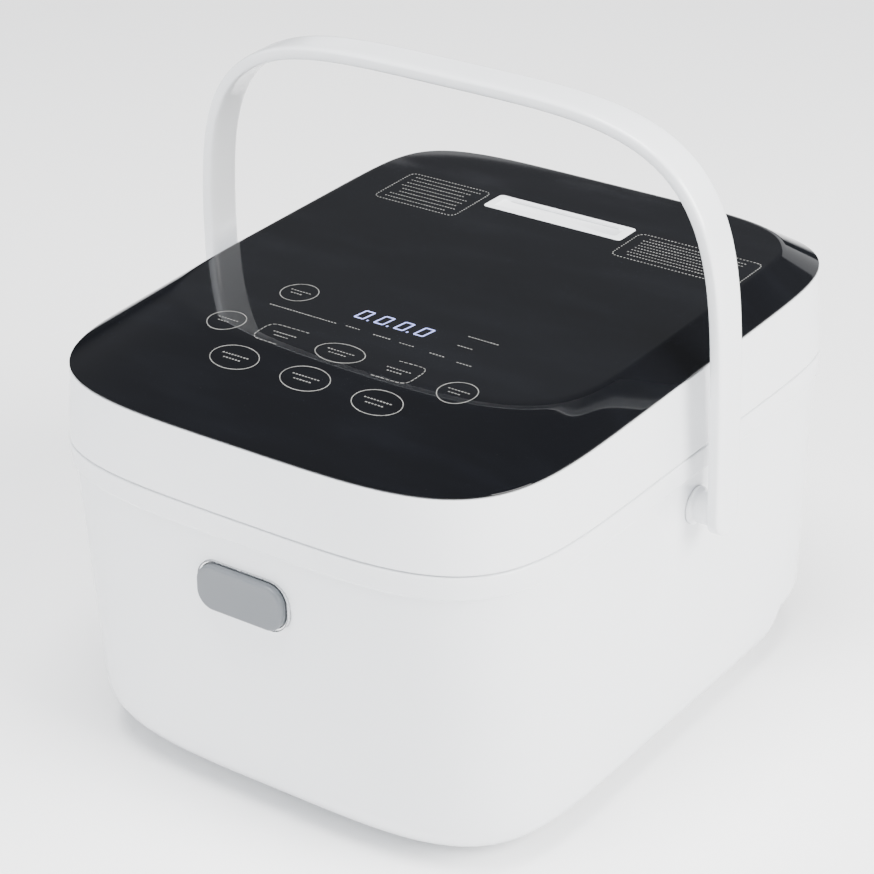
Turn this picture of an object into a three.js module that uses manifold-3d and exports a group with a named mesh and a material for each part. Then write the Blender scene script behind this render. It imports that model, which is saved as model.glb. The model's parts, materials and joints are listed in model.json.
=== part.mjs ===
// A rice cooker with a hinged lid and a carry handle, built as separate parts.
// Millimetres, +Z up, the front face towards -Y, the origin under the middle of the feet.
import * as THREE from 'three';
import { mergeVertices } from 'three/addons/utils/BufferGeometryUtils.js';
import Module from 'manifold-3d';

const wasm = await Module();
wasm.setup();

// ---------------------------------------------------------------- driving dimensions
const bodyWidth = 266;
const bodyDepth = 336;
const footHeight = 3;
const seamHeight = 164;
const lidHeight = 39.9;
const edgeRise = 0.0248;
const cornerPowerX = 4.4;
const cornerPowerY = 6.9;
const outlineSteps = 40;
const gap = 0.3;

const wall = 3;
const collarHeight = 11;
const collarStep = 1.5;
const bottomRadius = 26;
const sideTaper = 0.012;
const frontTaper = 0.09;
const rearTaper = 0.02;
const undercutLength = 65;
const undercutHeight = 14.5;

const lidWall = 3.5;
const lidGap = 0.6;
const edgeInset = 2;
const rearEdgeInset = 5;
const crownHeight = 12;
const crownEdge = 1.2;
const crownSide = 16.4;
const crownRear = 21;
const crownFront = 74;
const crownStraight = 0.8;
const panelWall = 2.5;

const hingeInset = 26;
const hingeRise = 28;
const rimHeight = 9;
const hingeSideRoom = 49;
const hingeBarrel = 17;
const hingePinRadius = 4;
const pinClearance = 0.05;
const pinSteps = 32;

const potRadius = 108;
const potWall = 2.2;
const potCorner = 32;
const potBottom = 26;
const potOffset = -18;
const carrierGap = 1.8;
const carrierWall = 2.5;
const rimLip = 7.3;
const rimThickness = 2.9;
const roundSteps = 26;

const handleWidth = 20.5;
const handleThickness = 6.9;
const handleStandoff = 16.2;
const handlePivotY = 8;
const handlePivotDrop = 29;
const handleRadius = 190;
const handleBaseDrop = 31;
const handleLean = 2.6;
const handlePowerX = 4.08;
const handlePowerZ = 6.26;

const buttonWidth = 52;
const buttonHeight = 24.5;
const buttonRadius = 10;
const buttonDrop = 39;
const buttonProud = 5;
const bezelWidth = 2;

const ventLength = 80.6;
const ventWidth = 17.1;
const ventY = 93.3;
const ventThickness = 4;

const latchInset = 19;
const latchDrop = 23;
const latchPinRadius = 2;

const fanX = -52;
const fanInset = 43;
const fanSize = 55;
const fanHeight = 15;

const inletX = 58;
const inletZ = 45;
const inletWidth = 28;
const inletHeight = 20;

// ---------------------------------------------------------------- values that follow
const floorZ = footHeight;
const edgeHeight = seamHeight + lidHeight;
const undercutY = bodyDepth / 2 - undercutLength;
const hingeY = bodyDepth / 2 - hingeInset;
const hingeZ = seamHeight + hingeRise;
const hingeReach = bodyWidth / 2 - hingeSideRoom;
const deckTop = seamHeight - 3.5;
const deckThickness = 3;
const potOuter = potRadius + potWall;
const carrierRadius = potOuter + carrierGap;
const rimBottom = deckTop + gap;
const rimTop = rimBottom + rimThickness;
const linerZ = seamHeight + 4.4;
const linerThickness = 2.5;
const lidSweep = hingeRise - lidGap + 0.4;
const buttonZ = seamHeight - buttonDrop;
const latchPivotY = -bodyDepth / 2 + latchInset;
const latchPivotZ = seamHeight - latchDrop;
const handleSpan = bodyWidth + 2 * handleStandoff;
const handlePivotZ = seamHeight - handlePivotDrop;
const handleTop = handlePivotZ + handleRadius;
const handleBaseZ = handlePivotZ - handleBaseDrop;
const fanY = bodyDepth / 2 - fanInset;

// ---------------------------------------------------------------- materials
function finish(color, roughness, metalness = 0) {
  return new THREE.MeshStandardMaterial({ color, roughness, metalness });
}
const whiteGloss = finish(0xeef0f2, 0.22);
const blackGloss = finish(0x0b0c0f, 0.06);
const greyButton = finish(0x868b90, 0.4);
const silver = finish(0xc9ccd0, 0.3, 0.8);
const innerGrey = finish(0x8d9094, 0.5);
const darkPlastic = finish(0x2b2d30, 0.55);
const steel = finish(0xb4b7ba, 0.35, 1);
const aluminium = finish(0xc4c6c8, 0.4, 0.9);
const potCoating = finish(0x3a3a3c, 0.45, 0.4);
const copper = finish(0xb87333, 0.45, 0.9);
const ferrite = finish(0x2a2a2d, 0.8);
const boardGreen = finish(0x1f5a3a, 0.6);
const rubber = finish(0x55585b, 0.85);
const silicone = finish(0xd8dadb, 0.7);

// ---------------------------------------------------------------- solids and booleans
// Weld the vertices, drop empty triangles and turn the faces outwards.
function closed(geometry) {
  const bare = geometry.clone();
  bare.deleteAttribute('normal');
  bare.deleteAttribute('uv');
  const welded = mergeVertices(bare, 1e-4);
  const from = welded.index.array;
  const points = welded.attributes.position.array;
  const kept = [];
  let volume = 0;
  for (let i = 0; i < from.length; i += 3) {
    const [a, b, c] = [from[i], from[i + 1], from[i + 2]];
    if (a !== b && b !== c && a !== c) {
      kept.push(a, b, c);
      const [p, q, r] = [a, b, c].map((k) => new THREE.Vector3().fromArray(points, 3 * k));
      volume += p.dot(q.cross(r));
    }
  }
  if (volume < 0) {
    kept.reverse();
  }
  welded.setIndex(kept);
  return welded;
}

function toSolid(geometry) {
  const tidy = closed(geometry);
  const vertProperties = new Float32Array(tidy.attributes.position.array);
  const triVerts = new Uint32Array(tidy.index.array);
  return new wasm.Manifold(new wasm.Mesh({ numProp: 3, vertProperties, triVerts }));
}

function toGeometry(solid) {
  const mesh = solid.getMesh();
  const geometry = new THREE.BufferGeometry();
  geometry.setAttribute('position', new THREE.BufferAttribute(mesh.vertProperties, 3));
  geometry.setIndex(new THREE.BufferAttribute(mesh.triVerts, 1));
  geometry.computeVertexNormals();
  return geometry;
}

// Join every geometry in the first list, then cut away every geometry in the second.
function carve(added, removed = []) {
  let solid = toSolid(added[0]);
  for (const piece of added.slice(1)) {
    solid = solid.add(toSolid(piece));
  }
  for (const piece of removed) {
    solid = solid.subtract(toSolid(piece));
  }
  return toGeometry(solid);
}

// ---------------------------------------------------------------- shape helpers
// A box given by its lowest and highest corners.
function block(x0, x1, y0, y1, z0, z1) {
  const geometry = new THREE.BoxGeometry(x1 - x0, y1 - y0, z1 - z0);
  return geometry.translate((x0 + x1) / 2, (y0 + y1) / 2, (z0 + z1) / 2);
}

// A round rod along Z between two heights.
function rodZ(radius, x, y, z0, z1, steps = 16) {
  const geometry = new THREE.CylinderGeometry(radius, radius, z1 - z0, steps);
  return geometry.rotateX(Math.PI / 2).translate(x, y, (z0 + z1) / 2);
}

// A round rod along X between two places.
function rodX(radius, x0, x1, y, z, steps = 16) {
  const geometry = new THREE.CylinderGeometry(radius, radius, x1 - x0, steps);
  return geometry.rotateZ(Math.PI / 2).translate((x0 + x1) / 2, y, z);
}

// Radius and height pairs turned about a vertical axis at (x, y).
function lathe(profile, x, y, steps = roundSteps) {
  const points = profile.map(([radius, height]) => new THREE.Vector2(radius, height));
  return new THREE.LatheGeometry(points, steps).rotateX(Math.PI / 2).translate(x, y, 0);
}

// A closed ring of rectangular section about a vertical axis.
function ringZ(inner, outer, z0, z1, x, y, steps = roundSteps) {
  return lathe([[inner, z0], [outer, z0], [outer, z1], [inner, z1], [inner, z0]], x, y, steps);
}

function roundedShape(width, height, radius) {
  const [w, h] = [width / 2, height / 2];
  const shape = new THREE.Shape();
  shape.absarc(w - radius, h - radius, radius, 0, Math.PI / 2);
  shape.absarc(-w + radius, h - radius, radius, Math.PI / 2, Math.PI);
  shape.absarc(-w + radius, -h + radius, radius, Math.PI, 1.5 * Math.PI);
  shape.absarc(w - radius, -h + radius, radius, 1.5 * Math.PI, 2 * Math.PI);
  return shape;
}

function extrude(shape, depth, curveSegments = 5) {
  return new THREE.ExtrudeGeometry(shape, { depth, bevelEnabled: false, curveSegments });
}

// A rounded rectangle in the XY plane, standing between two heights.
function padZ(width, height, radius, x, y, z0, z1) {
  return extrude(roundedShape(width, height, radius), z1 - z0).translate(x, y, z0);
}

// A rounded rectangle in the XZ plane, standing between two depths.
function padY(width, height, radius, x, z, y0, y1) {
  const geometry = extrude(roundedShape(width, height, radius), y1 - y0);
  return geometry.rotateX(Math.PI / 2).translate(x, y1, z);
}

// A polygon of (y, z) points drawn out along X.
function slabX(points, x0, x1) {
  const shape = new THREE.Shape(points.map(([y, z]) => new THREE.Vector2(y, z)));
  const geometry = extrude(shape, x1 - x0);
  return geometry.rotateX(Math.PI / 2).rotateZ(Math.PI / 2).translate(x0, 0, 0);
}

// A coil spring about the Z axis, standing on z = 0.
function coil(radius, wire, length, turns) {
  const points = [];
  const stepsPerTurn = 8;
  const steps = stepsPerTurn * turns;
  for (let i = 0; i <= steps; i += 1) {
    const angle = (2 * Math.PI * i) / stepsPerTurn;
    const height = wire + ((length - 2 * wire) * i) / steps;
    points.push(new THREE.Vector3(radius * Math.cos(angle), radius * Math.sin(angle), height));
  }
  const section = new THREE.Shape().absarc(0, 0, wire, 0, 2 * Math.PI);
  const extrudePath = new THREE.CatmullRomCurve3(points);
  return new THREE.ExtrudeGeometry(section, { steps, curveSegments: 3, extrudePath, bevelEnabled: false });
}

// ---------------------------------------------------------------- the rounded-rectangle outline
// One superellipse ring; its height may change with y.
function ring(size, height) {
  const points = [];
  const middle = (size.rearY + size.frontY) / 2;
  const halfY = (size.rearY - size.frontY) / 2;
  for (let i = 0; i < outlineSteps; i += 1) {
    const angle = (2 * Math.PI * (i + 0.5)) / outlineSteps;
    const [c, s] = [Math.cos(angle), Math.sin(angle)];
    const x = size.halfX * Math.sign(c) * Math.abs(c) ** (2 / cornerPowerX);
    const y = middle + halfY * Math.sign(s) * Math.abs(s) ** (2 / cornerPowerY);
    points.push([x, y, height(y)]);
  }
  return points;
}

// A solid through a stack of rings, closed at both ends.
function loft(rings) {
  const count = rings[0].length;
  const positions = rings.flat(2);
  const index = [];
  for (let r = 0; r + 1 < rings.length; r += 1) {
    for (let i = 0; i < count; i += 1) {
      const a = r * count + i;
      const b = r * count + ((i + 1) % count);
      index.push(a, b, b + count, a, b + count, a + count);
    }
  }
  for (const [r, turn] of [[0, 1], [rings.length - 1, 0]]) {
    const centre = positions.length / 3;
    const mean = [0, 1, 2].map((k) => rings[r].reduce((sum, p) => sum + p[k], 0) / count);
    positions.push(...mean);
    for (let i = 0; i < count; i += 1) {
      const pair = [r * count + i, r * count + ((i + 1) % count)];
      index.push(centre, pair[turn], pair[1 - turn]);
    }
  }
  const geometry = new THREE.BufferGeometry();
  geometry.setAttribute('position', new THREE.Float32BufferAttribute(positions, 3));
  geometry.setIndex(index);
  return geometry;
}

// Outline of the body at a height, moved in by a wall. The foot of the wall curls under.
function bodySize(z, inset) {
  const drop = Math.max(0, seamHeight - z);
  const step = inset > 0 || drop > collarHeight ? collarStep : 0;
  const curlRadius = bottomRadius - inset;
  const rise = Math.min(1, Math.max(0, (floorZ + bottomRadius - z) / curlRadius));
  const curl = curlRadius * (1 - Math.sqrt(1 - rise * rise));
  const total = inset + step + curl;
  return {
    halfX: bodyWidth / 2 - sideTaper * drop - total,
    frontY: -(bodyDepth / 2 - frontTaper * drop - total),
    rearY: bodyDepth / 2 - rearTaper * drop - total,
  };
}

// The body's filled shape, moved in by a wall, up to a height.
function bodyForm(inset, top) {
  const curlRadius = bottomRadius - inset;
  const heights = [90, 66, 44, 22, 0].map((degrees) => {
    const angle = THREE.MathUtils.degToRad(degrees);
    return floorZ + inset + curlRadius * (1 - Math.sin(angle));
  });
  const rings = heights.map((z) => ring(bodySize(z, inset), () => z));
  if (inset === 0) {
    const collarZ = seamHeight - collarHeight;
    rings.push(ring(bodySize(collarZ - 0.01, 0), () => collarZ - 1));
    rings.push(ring(bodySize(collarZ, 0), () => collarZ));
  }
  rings.push(ring(bodySize(seamHeight, inset), () => top));
  return loft(rings);
}

// Height of the lid's top edge, which climbs gently to the rear.
function edgeZ(y) {
  return edgeHeight + edgeRise * y;
}

// Outline of the lid band: share 0 at the seam, 1 at the top edge.
function lidSize(share, inset) {
  return {
    halfX: bodyWidth / 2 - share * edgeInset - inset,
    frontY: -(bodyDepth / 2 - share * edgeInset - inset),
    rearY: bodyDepth / 2 - share * rearEdgeInset - inset,
  };
}

function lidForm(inset, bottom, topRaise) {
  const foot = ring(lidSize(0, inset), () => bottom);
  const edge = ring(lidSize(1, inset), (y) => edgeZ(y) + topRaise);
  return loft([foot, edge]);
}

// Share of the crown's height at a share of its slope: straight, then rounded over.
function crownShare(s) {
  const slope = 2 / (1 + crownStraight);
  if (s < crownStraight) {
    return slope * s;
  }
  return 1 - (slope * (1 - s) ** 2) / (2 * (1 - crownStraight));
}

// The crowned panel as a filled form, lowered and moved in by a wall, with a ring at each share
// of its slope.
function crownForm(inset, drop, bottom, shares) {
  const rings = [];
  rings.push(ring(lidSize(1, inset), (y) => edgeZ(y) + bottom));
  for (const s of shares) {
    const edge = lidSize(1, inset);
    const size = {
      halfX: edge.halfX - s * crownSide,
      frontY: edge.frontY + s * crownFront,
      rearY: edge.rearY - s * crownRear,
    };
    const height = crownEdge + crownHeight * crownShare(s) - drop;
    rings.push(ring(size, (y) => edgeZ(y) + height));
  }
  return loft(rings);
}

// ---------------------------------------------------------------- the group and its nodes
const cooker = new THREE.Group();

function node(name, geometry, material) {
  const mesh = new THREE.Mesh(closed(geometry), material);
  mesh.name = name;
  cooker.add(mesh);
}

// Names for the two sides, with the sign of their x.
const sides = [['left', -1], ['right', 1]];

// ---------------------------------------------------------------- body shell and base
const openingHalfX = bodyWidth / 2 - 45;
const openingFront = -bodyDepth / 2 + 56;
const openingRear = undercutY - 15;
const openingRadius = 22;
const footInset = 16;
const frontFaceY = bodySize(buttonZ, 0).frontY;
const sideFaceX = bodySize(handlePivotZ, 0).halfX;
const bossShank = 5;

function openingPad(grow, z0, z1) {
  const width = 2 * (openingHalfX + grow);
  const depth = openingRear - openingFront + 2 * grow;
  return padZ(width, depth, openingRadius + grow, 0, (openingRear + openingFront) / 2, z0, z1);
}

function undercut(grow) {
  const far = bodyDepth;
  return block(-far, far, undercutY - grow, far, -1, floorZ + undercutHeight + grow);
}

// Slots along X, stepping in y, cut through between two heights.
function slots(count, pitch, length, width, x, y, z0, z1) {
  const cuts = [];
  for (let i = 0; i < count; i += 1) {
    const middle = y + (i - (count - 1) / 2) * pitch;
    cuts.push(block(x - length / 2, x + length / 2, middle - width / 2, middle + width / 2, z0, z1));
  }
  return cuts;
}

// A low rim behind the hinge that fills in under the lid's rounded rear edge.
function rearRim() {
  const [low, high] = [seamHeight - 1, seamHeight + rimHeight];
  const outer = loft([ring(lidSize(0, gap), () => low), ring(lidSize(0, gap), () => high)]);
  const inner = loft([ring(lidSize(0, wall), () => low - 1), ring(lidSize(0, wall), () => high + 1)]);
  const front = block(-bodyWidth, bodyWidth, -bodyDepth, hingeY + 4, low - 1, high + 1);
  const sweep = rodX(lidSweep + 2 * gap, -bodyWidth, bodyWidth, hingeY, hingeZ, 36);
  return carve([outer], [inner, front, sweep]);
}

function bodyShell() {
  const outer = carve([bodyForm(0, seamHeight)], [undercut(0)]);
  const inner = carve([bodyForm(wall, seamHeight + 1)], [undercut(wall)]);
  const shelf = floorZ + undercutHeight;
  const buttonHole = padY(
    buttonWidth + 2 * bezelWidth + 2 * gap,
    buttonHeight + 2 * bezelWidth + 2 * gap,
    buttonRadius + bezelWidth + gap,
    0,
    buttonZ,
    -bodyDepth,
    frontFaceY + 4 * wall,
  );
  const inletHole = block(
    inletX - inletWidth / 2 - gap,
    inletX + inletWidth / 2 + gap,
    bodyDepth / 2 - 6 * wall,
    bodyDepth,
    inletZ - inletHeight / 2 - gap,
    inletZ + inletHeight / 2 + gap,
  );
  const bossHole = rodX(bossShank + gap, -bodyWidth, bodyWidth, handlePivotY, handlePivotZ);
  const intake = slots(6, 7, 40, 3, fanX, fanY, shelf - 1, shelf + wall + 1);
  const cuts = [inner, openingPad(0, -1, 3 * wall), buttonHole, inletHole, bossHole, ...intake];
  return carve([carve([outer], cuts), rearRim()]);
}

const footSpots = [];
for (const [side, sign] of sides) {
  const x = sign * (openingHalfX - footInset);
  footSpots.push([`foot_front_${side}`, x, openingFront + 18]);
  footSpots.push([`foot_rear_${side}`, x, openingRear - 18]);
}
const footRadius = 9;
const footStem = 3;
const baseFlange = 2;
const flangeWidth = 6;
const baseTop = floorZ + wall + gap + baseFlange;
const screwSpots = [];
for (const [side, sign] of sides) {
  screwSpots.push([`base_screw_front_${side}`, sign * 36, openingFront + 14]);
  screwSpots.push([`base_screw_rear_${side}`, sign * 36, openingRear - 14]);
}
const screwRadius = 1.8;

function basePlate() {
  const plug = openingPad(-gap, floorZ, floorZ + wall + gap + 0.1);
  const flange = openingPad(flangeWidth, floorZ + wall + gap, baseTop);
  const vents = slots(5, 9, 70, 4, 0, -70, 0, baseTop + 1);
  const stems = footSpots.map(([, x, y]) => rodZ(footStem + gap, x, y, 0, baseTop + 1, 16));
  const screws = screwSpots.map(([, x, y]) => rodZ(screwRadius + gap, x, y, 0, baseTop + 1, 12));
  return carve([plug, flange], [...vents, ...stems, ...screws]);
}

function foot(x, y) {
  const seat = floorZ - gap;
  const profile = [
    [0, 0], [footRadius - 1.5, 0], [footRadius, 1], [footRadius, seat],
    [footStem, seat], [footStem, baseTop], [0, baseTop],
  ];
  return lathe(profile, x, y, 12);
}

function baseScrew(x, y) {
  const seat = floorZ - gap;
  const profile = [
    [0, seat - 1.8], [3, seat - 1.8], [3.6, seat - 1], [3.6, seat],
    [screwRadius, seat], [screwRadius, baseTop + 6], [0, baseTop + 7],
  ];
  return lathe(profile, x, y, 8);
}

node('body_shell', bodyShell(), whiteGloss);
node('base_plate', basePlate(), innerGrey);
for (const [name, x, y] of footSpots) {
  node(name, foot(x, y), rubber);
}
for (const [name, x, y] of screwSpots) {
  node(name, baseScrew(x, y), steel);
}

// ---------------------------------------------------------------- pot, deck and heating
function potDeck() {
  const z0 = deckTop - deckThickness;
  const size = bodySize(z0, wall + gap);
  const plate = loft([ring(size, () => z0), ring(size, () => deckTop)]);
  const sleeve = rodZ(carrierRadius + carrierWall, 0, potOffset, deckTop - 14, deckTop, roundSteps);
  const bore = rodZ(carrierRadius, 0, potOffset, 0, seamHeight, roundSteps);
  const latchSlot = block(-11, 11, latchPivotY - 8, latchPivotY + 8, z0 - 1, deckTop + 1);
  return carve([plate, sleeve], [bore, latchSlot]);
}

// A quarter arc of the pot's lower corner, moved out by an offset, from the floor up.
function cornerArc(offset, from = 0, to = 90, count = 4) {
  const points = [];
  const centre = potOuter - potCorner;
  for (let i = 0; i <= count; i += 1) {
    const angle = THREE.MathUtils.degToRad(from + ((to - from) * i) / count);
    const reach = potCorner + offset;
    points.push([centre + reach * Math.sin(angle), potBottom + potCorner - reach * Math.cos(angle)]);
  }
  return points;
}

function innerPot() {
  const lip = potOuter + rimLip;
  const outside = [[0, potBottom], ...cornerArc(0), [potOuter, rimBottom]];
  const rim = [[lip - 1, rimBottom], [lip, rimBottom + 1], [lip, rimTop - 1], [lip - 1, rimTop]];
  const inside = [[potRadius + 1, rimTop], [potRadius, rimTop - 1], ...cornerArc(-potWall).reverse()];
  return lathe([...outside, ...rim, ...inside, [0, potBottom + potWall]], 0, potOffset);
}

const sensorHole = 22;

function coilCarrier() {
  const top = deckTop - 14 - gap;
  const inner = cornerArc(carrierGap);
  const outer = cornerArc(carrierGap + carrierWall);
  const floor = potBottom - carrierGap;
  const profile = [
    [sensorHole, floor], ...inner, [carrierRadius, top], [carrierRadius + carrierWall, top],
    ...outer.reverse(), [sensorHole, floor - carrierWall], [sensorHole, floor],
  ];
  return lathe(profile, 0, potOffset);
}

const coilTop = potBottom - carrierGap - carrierWall - gap;
const coilThickness = 4;

function innerCoil() {
  return ringZ(34, potOuter - potCorner - 4.2, coilTop - coilThickness, coilTop, 0, potOffset);
}

function outerCoil() {
  const near = carrierGap + carrierWall + gap;
  const inside = cornerArc(near, 18, 72, 4);
  const outside = cornerArc(near + coilThickness, 18, 72, 4).reverse();
  return lathe([...inside, ...outside, inside[0]], 0, potOffset);
}

function ferriteBar(turn) {
  const top = coilTop - coilThickness - gap;
  const bar = block(28, 84, -6, 6, top - 4.5, top);
  return bar.rotateZ(turn).translate(0, potOffset, 0);
}

const housingFloor = 12;
const sensorTravel = 2;

function sensorHousing() {
  const top = potBottom - carrierGap - 1.5;
  const profile = [
    [0, housingFloor], [26, housingFloor], [26, housingFloor + 2], [19.5, housingFloor + 2],
    [19.5, top], [17.5, top], [17.5, housingFloor + 2.5], [0, housingFloor + 2.5],
  ];
  return lathe(profile, 0, potOffset);
}

function sensorCap() {
  const top = potBottom - gap;
  const profile = [
    [0, top - 2], [14, top - 2], [14, top - 7], [16, top - 7], [16, top - 1], [15, top], [0, top],
  ];
  return lathe(profile, 0, potOffset);
}

function sensorSpring() {
  const seat = housingFloor + 2.5 + gap;
  const length = potBottom - 2 * gap - 2 - seat;
  return coil(10, 0.8, length, 3).translate(0, potOffset, seat);
}

node('pot_deck', potDeck(), innerGrey);
node('inner_pot', innerPot(), potCoating);
node('coil_carrier', coilCarrier(), darkPlastic);
node('inner_coil', innerCoil(), copper);
node('outer_coil', outerCoil(), copper);
for (let i = 0; i < 4; i += 1) {
  node(`ferrite_bar_${i + 1}`, ferriteBar(Math.PI / 4 + (i * Math.PI) / 2), ferrite);
}
node('sensor_housing', sensorHousing(), darkPlastic);
node('sensor_cap', sensorCap(), aluminium);
node('sensor_spring', sensorSpring(), steel);

// ---------------------------------------------------------------- power, fan and mains inlet
const shelfTop = floorZ + undercutHeight + wall;
const boardZ = shelfTop + 10;

function powerBoard() {
  const [front, rear] = [undercutY + 3, undercutY + 47];
  const legs = [[16, front + 4], [88, front + 4], [16, rear - 4], [88, rear - 4]];
  const posts = legs.map(([x, y]) => rodZ(3, x, y, shelfTop + gap, boardZ + 0.5, 12));
  return carve([block(10, 94, front, rear, boardZ, boardZ + 1.6), ...posts]);
}

function heatSink() {
  const floor = boardZ + 1.6 + gap;
  const [front, rear] = [undercutY + 9, undercutY + 37];
  const fins = [];
  for (let i = 0; i < 6; i += 1) {
    const x = 44 + i * 7;
    fins.push(block(x - 1, x + 1, front, rear, floor + 1, floor + 26));
  }
  return carve([block(42, 81, front, rear, floor, floor + 4), ...fins]);
}

function fanFrame() {
  const z0 = shelfTop + gap;
  const half = fanSize / 2;
  const frame = padZ(fanSize, fanSize, 4, fanX, fanY, z0, z0 + fanHeight);
  const duct = rodZ(half - 2.5, fanX, fanY, z0 - 1, z0 + fanHeight + 1, 32);
  const ringed = carve([frame], [duct]);
  const hub = rodZ(11, fanX, fanY, z0, z0 + 2, 24);
  const strutX = block(fanX - half + 1, fanX + half - 1, fanY - 2, fanY + 2, z0, z0 + 2);
  const strutY = block(fanX - 2, fanX + 2, fanY - half + 1, fanY + half - 1, z0, z0 + 2);
  return carve([ringed, hub, strutX, strutY]);
}

function fanRotor() {
  const z0 = shelfTop + gap + 2.6;
  const z1 = z0 + fanHeight - 4;
  const root = 9;
  const tip = fanSize / 2 - 4;
  const blades = [];
  for (let i = 0; i < 7; i += 1) {
    const blade = new THREE.BoxGeometry(tip - root, 1.2, 14).rotateX(THREE.MathUtils.degToRad(50));
    blade.translate((root + tip) / 2, 0, (z0 + z1) / 2);
    blades.push(blade.rotateZ((2 * Math.PI * i) / 7).translate(fanX, fanY, 0));
  }
  return carve([rodZ(11.5, fanX, fanY, z0, z1, 24), ...blades]);
}

const inletFace = bodySize(inletZ, 0).rearY + 0.4;
const inletLength = 20;
const socketWall = 2.5;

function powerInlet() {
  const [w, h] = [inletWidth / 2, inletHeight / 2];
  const rear = inletFace;
  const front = rear - inletLength;
  const shell = block(inletX - w, inletX + w, front, rear, inletZ - h, inletZ + h);
  const socket = padY(
    inletWidth - 2 * socketWall,
    inletHeight - 2 * socketWall,
    3,
    inletX,
    inletZ,
    front + 4,
    rear + 1,
  );
  return carve([shell], [socket]);
}

function inletPin(dx, dz) {
  const front = inletFace - inletLength + 4 + gap;
  return block(inletX + dx - 1, inletX + dx + 1, front, front + 12, inletZ + dz - 2, inletZ + dz + 2);
}

node('power_board', powerBoard(), boardGreen);
node('heat_sink', heatSink(), aluminium);
node('fan_frame', fanFrame(), darkPlastic);
node('fan_rotor', fanRotor(), darkPlastic);
node('power_inlet', powerInlet(), darkPlastic);
node('inlet_pin_left', inletPin(-6, -0.5), steel);
node('inlet_pin_middle', inletPin(0, 3), steel);
node('inlet_pin_right', inletPin(6, -0.5), steel);

// ---------------------------------------------------------------- release button and latch
const buttonFaceY = frontFaceY - buttonProud;
const plungerEnd = latchPivotY - 2.5 - gap;
const plungerWidth = 12;
const leverHalf = 9;
const earInner = 14;
const earOuter = 16;

function buttonBezel() {
  const grow = 2 * bezelWidth;
  const back = frontFaceY + 2 * wall;
  const face = frontFaceY - 1.2;
  const pad = padY(buttonWidth + grow, buttonHeight + grow, buttonRadius + bezelWidth, 0, buttonZ, face, back);
  const hole = padY(
    buttonWidth + 2 * gap,
    buttonHeight + 2 * gap,
    buttonRadius + gap,
    0,
    buttonZ,
    face - 1,
    back + 1,
  );
  return carve([pad], [hole]);
}

function releaseButton() {
  const cap = padY(buttonWidth, buttonHeight, buttonRadius, 0, buttonZ, buttonFaceY, frontFaceY + wall);
  const half = plungerWidth / 2;
  const stem = block(-half, half, frontFaceY + wall - 1, plungerEnd - 3.5, buttonZ - 4, buttonZ + 4);
  const nose = block(-half, half, plungerEnd - 4, plungerEnd, buttonZ - 4, buttonZ - 2);
  return carve([cap, stem, nose]);
}

function latchLever() {
  const [y, z] = [latchPivotY, latchPivotZ];
  const hookZ = seamHeight + 1.9;
  const profile = [
    [y - 2.5, buttonZ - 4], [y + 1.5, buttonZ - 4], [y + 1.5, z - 4], [y + 4, z], [y + 2, z + 5],
    [y + 2, hookZ], [y + 4.8, hookZ], [y + 4.8, hookZ + 1], [y + 1, hookZ + 4], [y - 2.5, hookZ + 4],
    [y - 2.5, z + 5], [y - 4, z], [y - 2.5, z - 4],
  ];
  const bore = rodX(latchPinRadius + pinClearance, -bodyWidth, bodyWidth, y, z, pinSteps);
  return carve([slabX(profile, -leverHalf, leverHalf)], [bore]);
}

function latchBracket() {
  const [y, z] = [latchPivotY, latchPivotZ];
  const top = deckTop - deckThickness - gap;
  const [front, rear] = [y - 7, y + 13];
  const plate = block(-earOuter, earOuter, front, rear, top - 2, top);
  const ears = [[-earOuter, -earInner], [earInner, earOuter]].map(([x0, x1]) => (
    block(x0, x1, front, rear, z - 6, top)
  ));
  const window = block(-leverHalf - 2, leverHalf + 2, front - 1, y + 6, top - 3, top + 1);
  const bore = rodX(latchPinRadius + pinClearance, -bodyWidth, bodyWidth, y, z, pinSteps);
  return carve([plate, ...ears], [window, bore]);
}

function latchSpring() {
  const length = earInner - leverHalf - 2 * gap;
  const spring = coil(3.4, 0.5, length, 3).rotateY(Math.PI / 2);
  return spring.translate(leverHalf + gap, latchPivotY, latchPivotZ);
}

node('button_bezel', buttonBezel(), silver);
node('release_button', releaseButton(), greyButton);
node('latch_lever', latchLever(), steel);
node('latch_bracket', latchBracket(), steel);
const latchPin = rodX(latchPinRadius, -earOuter - 1, earOuter + 1, latchPivotY, latchPivotZ, pinSteps);
node('latch_pin', latchPin, steel);
node('latch_spring', latchSpring(), steel);

// ---------------------------------------------------------------- lid hinge
const cheekWall = 4;
const barrelWall = 3.5;
const armThickness = 5;
const armRadius = 8;

// The fixed barrel: a shell open towards the front, with a cheek at each end and a rib inside.
function hingeHousing() {
  const solid = rodX(hingeBarrel, -hingeReach, hingeReach, hingeY, hingeZ, 24);
  const foot = block(-hingeReach, hingeReach, hingeY - 13, hingeY + 8, deckTop + gap, hingeZ - 6);
  const hollow = rodX(hingeBarrel - barrelWall, -hingeReach, hingeReach, hingeY, hingeZ, 24);
  const mouth = block(-hingeReach, hingeReach, hingeY - 2 * hingeBarrel, hingeY - 8, hingeZ - 9, hingeZ + 5);
  const shell = carve([solid, foot], [hollow, mouth]);
  const plates = [-hingeReach, -cheekWall / 2, hingeReach - cheekWall].map((x) => (
    rodX(hingeBarrel - 1, x, x + cheekWall, hingeY, hingeZ, 24)
  ));
  const bore = rodX(hingePinRadius + pinClearance, -bodyWidth, bodyWidth, hingeY, hingeZ, pinSteps);
  return carve([shell, ...plates], [bore]);
}

function hingeSpring(sign) {
  const length = 42;
  const spring = coil(7, 1.1, length, 4).rotateY(Math.PI / 2);
  const start = sign > 0 ? hingeReach - cheekWall - gap - length : -hingeReach + cheekWall + gap;
  return spring.translate(start, hingeY, hingeZ);
}

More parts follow.
